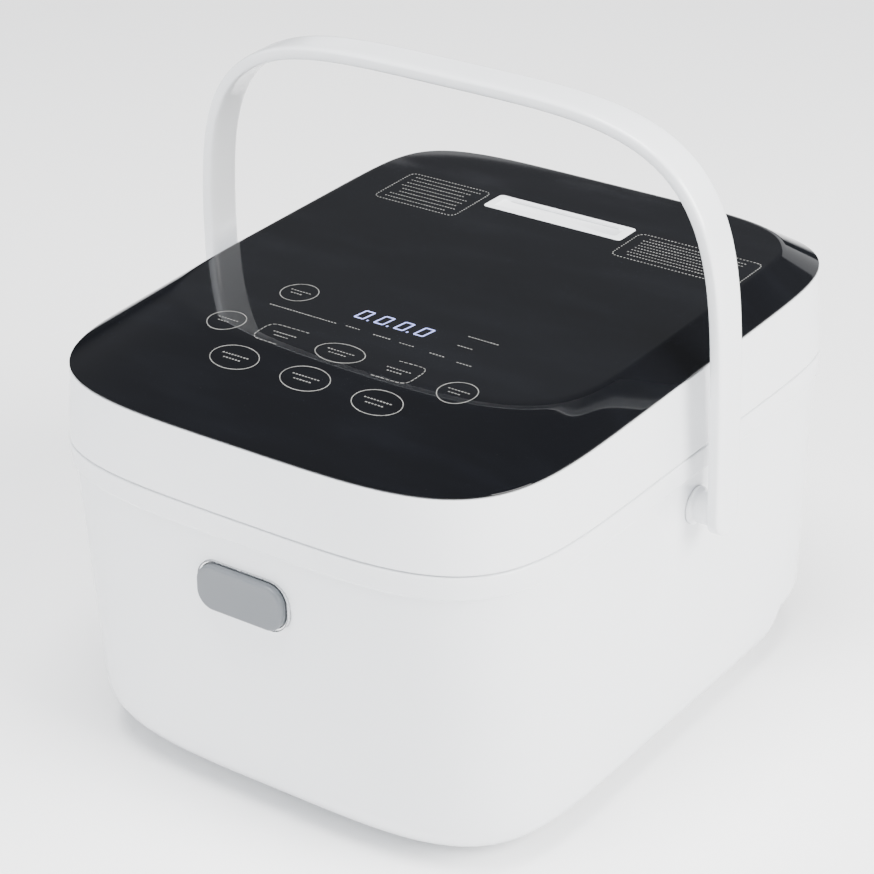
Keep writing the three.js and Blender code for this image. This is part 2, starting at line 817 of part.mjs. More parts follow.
// Steel arm under the lid that turns on the end of the pin.
function hingeArm(sign) {
  const near = hingeReach + 1;
  const [x0, x1] = sign > 0 ? [near, near + armThickness] : [-near - armThickness, -near];
  const eye = rodX(armRadius, x0, x1, hingeY, hingeZ);
  const floor = linerZ + linerThickness + gap;
  const profile = [
    [hingeY, hingeZ + 7], [hingeY - 26, floor + 7], [hingeY - 60, floor + 7],
    [hingeY - 60, floor], [hingeY - 18, floor], [hingeY, hingeZ - 7],
  ];
  const bore = rodX(hingePinRadius + pinClearance, -bodyWidth, bodyWidth, hingeY, hingeZ, pinSteps);
  return carve([eye, slabX(profile, x0, x1)], [bore]);
}

const pinEnd = hingeReach + armThickness + 1.5;
node('hinge_housing', hingeHousing(), whiteGloss);
node('hinge_pin', rodX(hingePinRadius, -pinEnd, pinEnd, hingeY, hingeZ, pinSteps), steel);
for (const [side, sign] of sides) {
  node(`hinge_spring_${side}`, hingeSpring(sign), steel);
  node(`hinge_arm_${side}`, hingeArm(sign), steel);
}

// ---------------------------------------------------------------- lid
const ventTop = edgeZ(ventY) + crownEdge + crownHeight - 0.2;
const ductLength = 72;
const ductWidth = 20;
const ductWall = 2;
const plateRadius = potRadius - 1.5;
const lidSensorX = 34;
const lidSensorY = -62;
const lidSensorRadius = 5;

// Keeps the lid's rear lower edge inside the arc that clears the body as it turns.
function rearRelief(reach, radius) {
  const behind = block(-reach, reach, hingeY, bodyDepth, 0, hingeZ);
  const kept = rodX(radius, -reach - 1, reach + 1, hingeY, hingeZ, 36);
  return carve([behind], [kept]);
}

// Room round the fixed hinge barrel and its foot.
function barrelRoom(clearance) {
  const reach = hingeReach + 0.6;
  const barrel = rodX(hingeBarrel + clearance, -reach, reach, hingeY, hingeZ, 24);
  const foot = block(-reach, reach, hingeY - hingeBarrel - clearance, bodyDepth, 0, hingeZ);
  return carve([barrel, foot]);
}

function lidFrame() {
  const outer = lidForm(0, seamHeight + lidGap, 0);
  const inner = lidForm(lidWall, seamHeight, 1);
  return carve([outer], [inner, rearRelief(bodyWidth, lidSweep), barrelRoom(1)]);
}

function touchPanel() {
  const dome = crownForm(0, 0, gap, [0, 0.4, crownStraight, 0.9, 1]);
  const hollow = crownForm(panelWall, panelWall + 0.8, -panelWall - 4, [0, crownStraight, 1]);
  const hole = padZ(ventLength + 2 * gap, ventWidth + 2 * gap, 2.5, 0, ventY, seamHeight, 2 * seamHeight);
  return carve([dome], [hollow, hole]);
}

const boardSpots = [[-68, -98], [68, -98], [-68, -42], [68, -42]];
const controlZ = linerZ + 18;

function lidLiner() {
  const top = linerZ + linerThickness;
  const size = lidSize(0.15, lidWall + gap);
  const plate = loft([ring(size, () => linerZ), ring(size, () => top)]);
  const posts = boardSpots.map(([x, y]) => rodZ(3.5, x, y, top - 0.5, controlZ - gap, 12));
  const steamHole = rodZ(6, 0, ventY, 0, 2 * seamHeight, 16);
  const sensorHoleCut = rodZ(lidSensorRadius + 0.6, lidSensorX, lidSensorY, 0, 2 * seamHeight, 16);
  const latchRoom = block(-12, 12, latchPivotY - 9, latchPivotY + 5.5, 0, 2 * seamHeight);
  const cuts = [steamHole, sensorHoleCut, latchRoom, rearRelief(bodyWidth, lidSweep + 2), barrelRoom(2)];
  return carve([plate, ...posts], cuts);
}

const plateZ = rimTop + 1.4;

function innerLidPlate() {
  const z1 = plateZ + 1.4;
  const disc = lathe([
    [0, plateZ], [plateRadius - 12, plateZ], [plateRadius - 9, plateZ - 1], [plateRadius, plateZ - 1],
    [plateRadius, plateZ + 0.4], [plateRadius - 8, plateZ + 0.4], [plateRadius - 11, z1], [0, z1],
  ], 0, potOffset);
  const holes = [];
  for (let i = -2; i <= 2; i += 1) {
    holes.push(rodZ(2, i * 9, ventY - 26, 0, 2 * seamHeight, 10));
  }
  holes.push(rodZ(lidSensorRadius + 0.6, lidSensorX, lidSensorY, 0, 2 * seamHeight, 16));
  return carve([disc], holes);
}

function lidGasket() {
  const inner = plateRadius + gap;
  const outer = potOuter + rimLip - 2;
  const low = rimTop + gap;
  const profile = [
    [inner, low + 1.5], [inner + 3, low], [outer, low], [outer, low + 1], [inner + 4, low + 2],
    [inner + 3, linerZ - gap], [inner, linerZ - gap], [inner, low + 1.5],
  ];
  return lathe(profile, 0, potOffset);
}

function steamDuct() {
  const z0 = linerZ + linerThickness + gap;
  const z1 = ventTop - panelWall - 2.5;
  const inner = [ductLength - 2 * ductWall, ductWidth - 2 * ductWall];
  const tube = padZ(ductLength, ductWidth, 4, 0, ventY, z0, z1);
  const room = padZ(inner[0], inner[1], 2, 0, ventY, z0 + ductWall, z1 + 1);
  const hole = rodZ(5, 0, ventY, 0, 2 * seamHeight, 16);
  return carve([tube], [room, hole]);
}

function controlBoard() {
  return block(-76, 76, -106, -34, controlZ, controlZ + 1.6);
}

function displayModule() {
  const foot = controlZ + 1.6 + gap;
  const top = edgeZ(-58) + crownEdge + crownHeight - panelWall - 2;
  const window = block(-30, 30, -58, -36, top - 7, top);
  const legs = [[-27, -55], [27, -55], [-27, -39], [27, -39]].map(([x, y]) => (
    block(x - 2, x + 2, y - 2, y + 2, foot, top - 6)
  ));
  return carve([window, ...legs]);
}

function lidSensor() {
  const low = rimTop - 3;
  const high = linerZ + linerThickness + 3;
  const profile = [
    [0, low], [lidSensorRadius - 1, low], [lidSensorRadius, low + 1], [lidSensorRadius, high - 2],
    [lidSensorRadius + 2, high - 2], [lidSensorRadius + 2, high], [0, high],
  ];
  return lathe(profile, lidSensorX, lidSensorY, 12);
}

// A steel loop under the lid front: the latch hook's nose stands over its bar.
function latchStriker() {
  const front = latchPivotY + 5.8;
  const bar = block(-14, 14, front, front + 2.6, seamHeight - 0.6, seamHeight + 1.6);
  const legs = [[-14, -11], [11, 14]].map(([x0, x1]) => (
    block(x0, x1, front, front + 2.6, seamHeight, linerZ - gap)
  ));
  return carve([bar, ...legs]);
}

node('lid_frame', lidFrame(), whiteGloss);
node('touch_panel', touchPanel(), blackGloss);
node('lid_liner', lidLiner(), innerGrey);
node('inner_lid_plate', innerLidPlate(), aluminium);
node('lid_gasket', lidGasket(), silicone);
node('steam_duct', steamDuct(), innerGrey);
node('control_board', controlBoard(), boardGreen);
node('display_module', displayModule(), darkPlastic);
node('lid_sensor', lidSensor(), steel);
node('latch_striker', latchStriker(), steel);

// ---------------------------------------------------------------- steam vent cassette
function ventCover() {
  const z0 = ventTop - ventThickness;
  const cover = padZ(ventLength, ventWidth, 2.2, 0, ventY, z0, ventTop);
  const dish = padZ(ventLength - 10, ventWidth - 7, 1.5, 0, ventY, ventTop - 1, ventTop + 1);
  const steam = slots(2, 4, 44, 1.6, 0, ventY, z0 - 1, ventTop + 1);
  return carve([cover], [dish, ...steam]);
}

function ventCup() {
  const z1 = ventTop - ventThickness - gap;
  const z0 = linerZ + linerThickness + 12;
  const [length, width] = [ductLength - 2 * ductWall - 3, ductWidth - 2 * ductWall - 3];
  const cup = padZ(length, width, 2, 0, ventY, z0, z1);
  const room = padZ(length - 3, width - 3, 1, 0, ventY, z0 + 1.5, z1 + 1);
  const drains = [-18, 0, 18].map((x) => rodZ(2.2, x, ventY, 0, 2 * seamHeight, 12));
  return carve([cup], [room, ...drains]);
}

node('vent_cover', ventCover(), whiteGloss);
node('vent_cup', ventCup(), innerGrey);

// ---------------------------------------------------------------- carry handle and its bosses
const handleInnerX = handleSpan / 2 - handleThickness;
const stubRadius = 4;
const stubLength = 4.2;
const boreDepth = 4.6;

// The bail: a rounded bar carried along one high arch, from eye to eye. It leans a little forward.
function handleArch() {
  const halfX = handleSpan / 2 - handleThickness / 2;
  const height = handleTop - handleThickness / 2 - handleBaseZ;
  const start = Math.asin(((handlePivotZ - handleBaseZ) / height) ** (handlePowerZ / 2));
  const corner = 1.8;
  const [t, w] = [handleThickness / 2, handleWidth / 2];
  const section = [
    [t, -w + corner], [t, w - corner], [t - corner, w], [-t + corner, w],
    [-t, w - corner], [-t, -w + corner], [-t + corner, -w], [t - corner, -w],
  ];
  const arch = (angle) => {
    const [c, s] = [Math.cos(angle), Math.sin(angle)];
    const x = halfX * Math.sign(c) * Math.abs(c) ** (2 / handlePowerX);
    return [x, handleBaseZ + height * Math.abs(s) ** (2 / handlePowerZ)];
  };
  const steps = 32;
  const rings = [];
  for (let i = 0; i <= steps; i += 1) {
    const angle = start + ((Math.PI - 2 * start) * i) / steps;
    const [x, z] = arch(angle);
    const [ax, az] = arch(Math.max(start, angle - 0.01));
    const [bx, bz] = arch(Math.min(Math.PI - start, angle + 0.01));
    const length = Math.hypot(bx - ax, bz - az);
    const [nx, nz] = [(bz - az) / length, -(bx - ax) / length];
    rings.push(section.map(([out, across]) => [x + nx * out, handlePivotY + across, z + nz * out]));
  }
  return loft(rings);
}

function carryHandle() {
  const eyes = sides.map(([, sign]) => {
    const [x0, x1] = sign > 0 ? [handleInnerX, handleSpan / 2] : [-handleSpan / 2, -handleInnerX];
    return rodX(handleWidth / 2, x0, x1, handlePivotY, handlePivotZ, 24);
  });
  const reach = handleInnerX + boreDepth;
  const bore = rodX(stubRadius + pinClearance, -reach, reach, handlePivotY, handlePivotZ, pinSteps);
  const lean = THREE.MathUtils.degToRad(handleLean);
  const bail = carve([handleArch(), ...eyes], [bore]).translate(0, -handlePivotY, -handlePivotZ);
  return bail.rotateX(lean).translate(0, handlePivotY, handlePivotZ);
}

// A round boss that stands between the body side and the handle's eye.
function handleBoss(sign) {
  const seat = sideFaceX + gap;
  const face = handleInnerX - gap;
  const profile = [
    [0, seat - 2 * wall], [bossShank, seat - 2 * wall], [bossShank, seat], [9.5, seat],
    [9.5, seat + 2], [7.5, seat + 3], [7.5, face], [0, face],
  ];
  const boss = lathe(profile, 0, 0, 20).rotateY((sign * Math.PI) / 2);
  boss.translate(0, handlePivotY, handlePivotZ);
  const [x0, x1] = sign > 0 ? [face - 1, face + stubLength] : [-face - stubLength, -face + 1];
  return carve([boss, rodX(stubRadius, x0, x1, handlePivotY, handlePivotZ, pinSteps)]);
}

node('carry_handle', carryHandle(), whiteGloss);
for (const [side, sign] of sides) {
  node(`handle_boss_${side}`, handleBoss(sign), whiteGloss);
}

export default cooker;
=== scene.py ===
import json
import math

import bpy
import numpy as np
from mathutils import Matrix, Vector


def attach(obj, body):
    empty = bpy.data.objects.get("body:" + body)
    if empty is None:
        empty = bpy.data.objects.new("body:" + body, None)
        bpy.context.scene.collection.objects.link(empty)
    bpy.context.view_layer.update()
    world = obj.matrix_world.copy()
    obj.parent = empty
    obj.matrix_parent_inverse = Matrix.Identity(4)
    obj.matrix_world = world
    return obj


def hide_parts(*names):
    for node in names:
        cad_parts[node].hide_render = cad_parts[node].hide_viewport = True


# A rice cooker: rounded white casing, hinged lid under a black touch panel, carry handle.
# Sizes in the dictionaries are millimetres; meshes are made in metres, +Z up, front towards -Y.

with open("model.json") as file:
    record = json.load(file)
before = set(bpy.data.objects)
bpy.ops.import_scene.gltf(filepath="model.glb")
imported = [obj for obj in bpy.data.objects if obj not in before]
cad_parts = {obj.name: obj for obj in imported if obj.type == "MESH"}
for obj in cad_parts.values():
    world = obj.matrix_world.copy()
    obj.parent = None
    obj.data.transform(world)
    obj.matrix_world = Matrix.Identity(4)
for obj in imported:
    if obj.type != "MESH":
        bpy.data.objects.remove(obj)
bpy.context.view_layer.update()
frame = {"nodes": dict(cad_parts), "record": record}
mm = 0.001

# Camera, floor and light.
viewpoint = {
    "lens": 110.31,  # mm, on a 36 mm wide sensor
    "azimuth": 34.845,
    "elevation": 27.048,
    "target": (-0.1224, 0.1624, 0.0315),
    "distance": 1.5339,
}


def placeCamera(look):
    turn, lift = math.radians(look["azimuth"]), math.radians(look["elevation"])
    back = Vector((math.sin(turn) * math.cos(lift), -math.cos(turn) * math.cos(lift), math.sin(lift)))
    data = bpy.data.cameras.new("camera")
    data.lens, data.sensor_width = look["lens"], 36
    data.clip_start, data.clip_end = 0.05, 50
    camera = bpy.data.objects.new("camera", data)
    camera.location = Vector(look["target"]) + back * look["distance"]
    camera.rotation_euler = (math.pi / 2 - lift, 0, turn)
    bpy.context.collection.objects.link(camera)
    bpy.context.scene.camera = camera


placeCamera(viewpoint)
print("camera placed")

studio = {
    "worldColour": (0.93, 0.95, 1.0),
    "horizonColour": (0.16, 0.17, 0.19),
    "horizonBand": (0.2, 0.5),  # sine of the elevation where the sky starts and ends brightening
    "worldStrength": 0.42,
    "floorColour": (0.97, 0.97, 0.975),
    # name: place, aimed at, width, height, watts, colour
    "lamps": {
        "rightKey": ((2.3, 0.1, 1.5), (0, 0, 0.12), 1.6, 1.6, 190, (1.0, 0.99, 0.97)),
        "frontFill": ((-0.9, -2.4, 1.1), (0, 0, 0.12), 1.8, 1.4, 62, (0.96, 0.98, 1.0)),
        "topSoft": ((0.1, -0.5, 2.6), (0, 0, 0.1), 1.5, 1.5, 150, (1.0, 1.0, 1.0)),
        "rearSheet": ((-0.7, 2.6, 0.9), (0, 0, 0.2), 3.0, 0.8, 12, (0.97, 0.98, 1.0)),
    },
}


def softLamp(name, place, aim, width, height, watts, colour):
    data = bpy.data.lights.new(name, "AREA")
    data.shape, data.size, data.size_y = "RECTANGLE", width, height
    data.energy, data.color = watts, colour
    lamp = bpy.data.objects.new(name, data)
    lamp.location = place
    lamp.rotation_euler = (Vector(aim) - Vector(place)).to_track_quat("-Z", "Y").to_euler()
    bpy.context.collection.objects.link(lamp)


for lampName, values in studio["lamps"].items():
    softLamp(lampName, *values)

def paintSky(look):
    # Dim near the horizon and bright above, so that the panel's slopes read darker than its top.
    world = bpy.data.worlds.new("studio")
    bpy.context.scene.world = world
    world.use_nodes = True
    nodes, links = world.node_tree.nodes, world.node_tree.links
    background = nodes["Background"]
    background.inputs["Strength"].default_value = look["worldStrength"]
    direction, height, blend, tint = (nodes.new(kind) for kind in (
        "ShaderNodeTexCoord", "ShaderNodeSeparateXYZ", "ShaderNodeMapRange", "ShaderNodeMix"))
    blend.interpolation_type, tint.data_type = "SMOOTHSTEP", "RGBA"
    blend.inputs["From Min"].default_value, blend.inputs["From Max"].default_value = look["horizonBand"]
    tint.inputs[6].default_value = (*look["horizonColour"], 1)
    tint.inputs[7].default_value = (*look["worldColour"], 1)
    links.new(direction.outputs["Generated"], height.inputs[0])
    links.new(height.outputs["Z"], blend.inputs["Value"])
    links.new(blend.outputs[0], tint.inputs[0])
    links.new(tint.outputs[2], background.inputs["Color"])


paintSky(studio)


# Shader maths.
class Signal:
    # One socket of a node tree; arithmetic on it adds Math nodes.
    def __init__(self, finish, socket):
        self.finish, self.socket = finish, socket

    def maths(self, operation, *values):
        return self.finish.node("ShaderNodeMath", {"operation": operation}, dict(enumerate(values)))

    def __add__(self, other):
        return self.maths("ADD", self, other)

    def __radd__(self, other):
        return self.maths("ADD", other, self)

    def __sub__(self, other):
        return self.maths("SUBTRACT", self, other)

    def __rsub__(self, other):
        return self.maths("SUBTRACT", other, self)

    def __mul__(self, other):
        return self.maths("MULTIPLY", self, other)

    def __rmul__(self, other):
        return self.maths("MULTIPLY", other, self)

    def __gt__(self, other):
        return self.maths("GREATER_THAN", self, other)

    def __mod__(self, other):
        return self.maths("FLOORED_MODULO", self, other)

    def smooth(self, low, high):
        sockets = {"Value": self, "From Min": low, "From Max": high}
        return self.finish.node("ShaderNodeMapRange", {"interpolation_type": "SMOOTHSTEP"}, sockets)


class Finish:
    # A procedural material around one Principled shader.
    def __init__(self, name):
        self.material = bpy.data.materials.new(name)
        self.material.use_nodes = True
        self.tree = self.material.node_tree
        self.shader = self.tree.nodes["Principled BSDF"]
        self.place = self.node("ShaderNodeTexCoord", {}, {}, output="Object")

    def node(self, kind, settings, sockets, output=0):
        added = self.tree.nodes.new(kind)
        for setting, value in settings.items():
            setattr(added, setting, value)
        for key, value in sockets.items():
            self.feed(added.inputs[key], value)
        return Signal(self, added.outputs[output])

    def feed(self, socket, value):
        if isinstance(value, Signal):
            self.tree.links.new(value.socket, socket)
        else:
            socket.default_value = value

    def set(self, **values):
        for key, value in values.items():
            self.feed(self.shader.inputs[key.replace("_", " ")], value)
        return self

    def noise(self, scale, detail=3.0, stretch=(1, 1, 1)):
        spot = self.node("ShaderNodeMapping", {}, {"Vector": self.place, "Scale": stretch})
        return self.node("ShaderNodeTexNoise", {}, {"Vector": spot, "Scale": scale, "Detail": detail})

    def cells(self, scale, output="Distance"):
        return self.node("ShaderNodeTexVoronoi", {}, {"Vector": self.place, "Scale": scale}, output=output)

    def axis(self, letter):
        return self.node("ShaderNodeSeparateXYZ", {}, {"Vector": self.place}, output=letter)

    def mix(self, first, second, factor):
        return self.node("ShaderNodeMix", {"data_type": "RGBA"}, {0: factor, 6: first, 7: second}, output=2)

    def bump(self, height, strength, distance):
        sockets = {"Height": height, "Strength": strength, "Distance": distance}
        return self.node("ShaderNodeBump", {}, sockets)


def opaque(colour):
    return (*colour, 1.0)


# Finishes.
plasticLooks = {
    # slot: colour, shade of it, roughness, roughness spread, coat, grain scale, grain depth in metres
    "white_gloss_plastic": ((0.81, 0.825, 0.845), (0.78, 0.797, 0.82), 0.22, 0.07, 0.35, 1500, 0.000004),
    "grey_button_plastic": ((0.115, 0.125, 0.137), (0.1, 0.11, 0.122), 0.38, 0.08, 0.1, 2600, 0.000012),
    "inner_grey_plastic": ((0.40, 0.41, 0.43), (0.36, 0.37, 0.39), 0.5, 0.1, 0.0, 2200, 0.00002),
    "dark_plastic": ((0.022, 0.023, 0.026), (0.03, 0.031, 0.034), 0.5, 0.1, 0.0, 2000, 0.00002),
    "rubber": ((0.075, 0.078, 0.082), (0.1, 0.103, 0.108), 0.78, 0.08, 0.0, 1700, 0.00003),
    "silicone": ((0.62, 0.64, 0.65), (0.56, 0.58, 0.59), 0.55, 0.08, 0.0, 900, 0.00001),
}


def plasticFinish(name, look):
    # Colour drifts between two shades with broad noise; fine noise gives the moulded grain,
    # and a middle one the faint smudges in the gloss.
    colour, shade, roughness, spread, coat, grainScale, grainDepth = look
    finish = Finish(name)
    drift = finish.noise(7, 4).smooth(0.35, 0.7)
    smudge = finish.noise(38, 5).smooth(0.35, 0.75)
    grain = finish.noise(grainScale, 2)
    finish.set(
        Base_Color=finish.mix(opaque(colour), opaque(shade), drift),
        Roughness=roughness - spread / 2 + smudge * spread,
        Normal=finish.bump(grain, 1.0, grainDepth),
        Coat_Weight=coat,
        Coat_Roughness=0.08,
    )
    return finish.material


panelLook = {
    "colour": (0.002, 0.0022, 0.003),
    "haze": (0.0032, 0.0036, 0.005),
    "roughness": 0.035,
    "smear": 0.07,  # how much rougher the wiped smears are
    "specular": 0.2,
}


def panelFinish(look):
    # Deep black moulded gloss with faint long wipe marks and a few pinhead dust specks.
    finish = Finish("black_gloss_panel")
    wipe = finish.noise(14, 6, stretch=(1, 3.5, 1)).smooth(0.42, 0.8)
    dust = finish.cells(420).smooth(0.07, 0.03) * finish.noise(60, 2).smooth(0.6, 0.72)
    wave = finish.noise(9, 2)
    haze = finish.mix(opaque(look["colour"]), opaque(look["haze"]), wipe)
    finish.set(
        Base_Color=finish.mix(haze, (0.05, 0.05, 0.052, 1), dust * 0.5),
        Roughness=look["roughness"] + wipe * look["smear"] + dust * 0.2,
        Specular_IOR_Level=look["specular"],
        Normal=finish.bump(wave, 0.6, 0.00004),
    )
    return finish.material


metalLooks = {
    # slot: colour, roughness, spread, streak scale, streak stretch, streak depth in metres
    "silver_trim": ((0.70, 0.71, 0.72), 0.2, 0.1, 320, (1, 1, 1), 0.000002),
    "steel": ((0.56, 0.565, 0.57), 0.26, 0.16, 260, (0.06, 1, 1), 0.00001),
    "aluminium": ((0.68, 0.685, 0.69), 0.3, 0.14, 300, (1, 0.07, 1), 0.000008),
}


def metalFinish(name, look):
    # Fine rolled streaks: noise squeezed along one direction drives roughness and bump.
    colour, roughness, spread, scale, stretch, depth = look
    finish = Finish(name)
    streak = finish.noise(scale, 5, stretch=stretch)
    stain = finish.noise(22, 4).smooth(0.4, 0.75)
    darker = tuple(value * 0.82 for value in colour)
    finish.set(
        Base_Color=finish.mix(opaque(colour), opaque(darker), stain * 0.5),
        Roughness=roughness + streak * spread + stain * 0.05,
        Metallic=1.0,
        Normal=finish.bump(streak, 1.0, depth),
    )
    return finish.material


def potFinish():
    # Dark non-stick coating: tiny pale and bronze flecks in a charcoal ground.
    finish = Finish("pot_coating")
    fleck = finish.cells(1400).smooth(0.28, 0.12)
    paler = finish.noise(300, 2).smooth(0.5, 0.75)
    ground = finish.mix((0.028, 0.028, 0.03, 1), (0.045, 0.043, 0.042, 1), finish.noise(12, 4))
    finish.set(
        Base_Color=finish.mix(ground, (0.2, 0.19, 0.18, 1), fleck * paler),
        Roughness=0.34 + fleck * 0.12,
        Metallic=0.35,
        Normal=finish.bump(finish.noise(900, 3), 1.0, 0.000015),
    )
    return finish.material


wireTurn = 0.0026  # metres between neighbouring turns of wire


def copperFinish():
    # Enamelled winding: rings about the pot's axis, as the sine of the distance from it. The base colour runs
    # from dark copper between neighbouring turns to bright copper on their crests: painted shade in the grooves
    # and a painted highlight on the crests, alongside the bump and roughness.
    finish = Finish("copper_wire")
    across, along = finish.axis("X"), finish.axis("Y") + 0.018
    squared = across * across + along * along
    radius = squared.maths("SQRT", squared)
    turn = radius.maths("SINE", radius * (2 * math.pi / wireTurn)) * 0.5 + 0.5
    finish.set(
        # Dark-to-bright copper across each turn is painted groove shade and a painted crest highlight.
        Base_Color=finish.mix((0.16, 0.05, 0.018, 1), (0.62, 0.24, 0.09, 1), turn),
        Roughness=0.42 - turn * 0.14,
        Metallic=0.8,
        Normal=finish.bump(turn, 1.0, 0.0005),
    )
    return finish.material


def ferriteFinish():
    # Sintered black with shallow pits where cells meet.
    finish = Finish("ferrite")
    pits = finish.cells(900).smooth(0.1, 0.4)
    finish.set(
        Base_Color=finish.mix((0.018, 0.018, 0.02, 1), (0.04, 0.04, 0.043, 1), pits),
        Roughness=0.62 + pits * 0.2,
        Normal=finish.bump(pits, 1.0, 0.00005),
    )
    return finish.material


def boardFinish():
    # Green solder mask over copper tracks that step on a 2.5 mm grid.
    finish = Finish("circuit_board")
    track = ((finish.axis("X") * 400) % 1.0 > 0.72) * (finish.cells(160, "Color") > 0.5)
    finish.set(
        Base_Color=finish.mix((0.008, 0.085, 0.035, 1), (0.03, 0.2, 0.075, 1), track),
        Roughness=0.42 - track * 0.1,
        Normal=finish.bump(track, 1.0, 0.00003),
    )
    return finish.material


finishes = {name: plasticFinish(name, look) for name, look in plasticLooks.items()}
finishes.update({name: metalFinish(name, look) for name, look in metalLooks.items()})
finishes.update(
    black_gloss_panel=panelFinish(panelLook), pot_coating=potFinish(), copper_wire=copperFinish(),
    ferrite=ferriteFinish(), circuit_board=boardFinish(),
)
print("finishes made")

floorLook = Finish("studio_floor")
floorTint = floorLook.mix(
    opaque(studio["floorColour"]), (0.955, 0.957, 0.962, 1), floorLook.noise(3, 3)
)
floorLook.set(Base_Color=floorTint, Roughness=0.75)
floorMesh = bpy.data.meshes.new("floor")
floorMesh.from_pydata([(-9, -9, 0), (9, -9, 0), (9, 9, 0), (-9, 9, 0)], [], [(0, 1, 2, 3)])
floorMesh.materials.append(floorLook.material)
floor = bpy.data.objects.new("floor", floorMesh)
floor.location.z = -0.0004
bpy.context.collection.objects.link(floor)


# Mesh helpers.
def meshFrom(name, points, faces):
    mesh = bpy.data.meshes.new(name)
    mesh.from_pydata((np.asarray(points) * mm).tolist(), [], faces)
    mesh.validate()
    piece = bpy.data.objects.new(name, mesh)
    bpy.context.collection.objects.link(piece)
    return piece


def gridFaces(rows, columns, closeRows):
    # Quads between neighbouring rings of points; the last ring joins the first if asked.
    r = np.arange(rows if closeRows else rows - 1)[:, None]
    c = np.arange(columns)[None, :]
    nextR, nextC = (r + 1) % rows, (c + 1) % columns
    corners = [r * columns + c, r * columns + nextC, nextR * columns + nextC, nextR * columns + c]
    return np.stack(corners, axis=-1).reshape(-1, 4)


def signedVolume(points, quads):
    a, b, c, d = (points[quads[:, k]] for k in range(4))
    first = np.einsum("ij,ij->i", a, np.cross(b, c))
    return (first + np.einsum("ij,ij->i", a, np.cross(c, d))).sum()


def loft(name, rings, closeRows=False):
    # rings: (rows, columns, 3). A tube through the rings, capped at both ends with a middle point,
    # or closed on itself like a bent tyre.
    rings = np.asarray(rings, float)
    rows, columns = rings.shape[:2]
    points = rings.reshape(-1, 3)
    quads = gridFaces(rows, columns, closeRows)
    if closeRows:
        if signedVolume(points, quads) < 0:
            quads = quads[:, ::-1]
        return meshFrom(name, points, quads.tolist())
    points = np.vstack([points, rings[0].mean(axis=0), rings[-1].mean(axis=0)])
    column = np.arange(columns)
    following = (column + 1) % columns
    last = (rows - 1) * columns
    pole = np.full(columns, rows * columns)
    foot = np.stack([pole, following, column, column], axis=1)
    head = np.stack([pole + 1, last + column, last + following, last + following], axis=1)
    turned = signedVolume(points, np.vstack([quads, foot, head])) < 0
    faces = quads.tolist() + foot[:, :3].tolist() + head[:, :3].tolist()
    if turned:
        faces = [face[::-1] for face in faces]
    return meshFrom(name, points, faces)


def ringAt(flat, z):
    # A ring of x and y at a height, which may be one number or vary along the ring.
    return np.stack(np.broadcast_arrays(*flat, z), axis=1)


def carve(piece, removed=(), added=(), kept=()):
    # Joins, cuts or keeps with other closed solids, which are used up.
    tools = [(tool, "UNION") for tool in added] + [(tool, "DIFFERENCE") for tool in removed]
    tools += [(tool, "INTERSECT") for tool in kept]
    for tool, operation in tools:
        cut = piece.modifiers.new("cut", "BOOLEAN")
        cut.object, cut.operation, cut.solver = tool, operation, "MANIFOLD"
    graph = bpy.context.evaluated_depsgraph_get()
    whole = bpy.data.meshes.new_from_object(piece.evaluated_get(graph))
    piece.modifiers.clear()
    piece.data = whole
    for tool, _ in tools:
        bpy.data.objects.remove(tool)
    return piece


def block(x0, x1, y0, y1, z0, z1):
    square = np.array([[x0, y0], [x1, y0], [x1, y1], [x0, y1]])
    return loft("block", [np.column_stack([square, np.full(4, z)]) for z in (z0, z1)])


def circle(radius, steps):
    angle = 2 * np.pi * np.arange(steps) / steps
    return radius * np.cos(angle), radius * np.sin(angle)


def rodX(radius, x0, x1, y, z, steps=96):
    c, s = circle(radius, steps)
    return loft("rod", [np.column_stack([np.full(steps, x), y + c, z + s]) for x in (x0, x1)])


def rodZ(radius, x, y, z0, z1, steps=48):
    c, s = circle(radius, steps)
    return loft("rod", [np.column_stack([x + c, y + s, np.full(steps, z)]) for z in (z0, z1)])


def lathe(name, profile, x, y, steps=144, closeRows=False):
    # Radius and height pairs carried round a vertical axis.
    profile = np.asarray(profile, float)
    c, s = circle(1.0, steps)
    r, z = profile[:, 0][:, None], profile[:, 1][:, None]
    rings = np.stack([x + r * c, y + r * s, z + 0 * c], axis=-1)
    return loft(name, rings, closeRows)


def rounded(profile, radius, steps=5):
    # Softens every inner corner of an open profile with a quadratic curve cut radius back.
    profile = np.asarray(profile, float)
    result = [profile[:1]]
    t = np.linspace(0, 1, steps)[:, None]
    for before, corner, after in zip(profile[:-2], profile[1:-1], profile[2:]):
        arms = [other - corner for other in (before, after)]
        start, end = (corner + arm * min(0.5, radius / np.linalg.norm(arm)) for arm in arms)
        result.append((1 - t) ** 2 * start + 2 * t * (1 - t) * corner + t ** 2 * end)
    return np.vstack(result + [profile[-1:]])


def roundedOutline(width, height, radius, perCorner=14):
    # Corner arcs of a rounded rectangle, one after the other, anticlockwise.
    quarter = np.linspace(0, np.pi / 2, perCorner)
    angle = np.concatenate([quarter + k * np.pi / 2 for k in range(4)])
    signs = np.repeat([[1, 1], [-1, 1], [-1, -1], [1, -1]], perCorner, axis=0)
    centre = signs * [width / 2 - radius, height / 2 - radius]
    return centre + radius * np.stack([np.cos(angle), np.sin(angle)], axis=1)


def edgeSteps(radius, low, high, steps=6):
    # (inset, level) pairs from low to high with both edges rounded.
    angle = np.linspace(0, np.pi / 2, steps)
    inset, rise = radius * (1 - np.sin(angle)), radius * (1 - np.cos(angle))
    lower = np.stack([inset, low + rise], axis=1)
    upper = np.stack([inset[::-1], high - rise[::-1]], axis=1)
    return np.vstack([lower, upper])


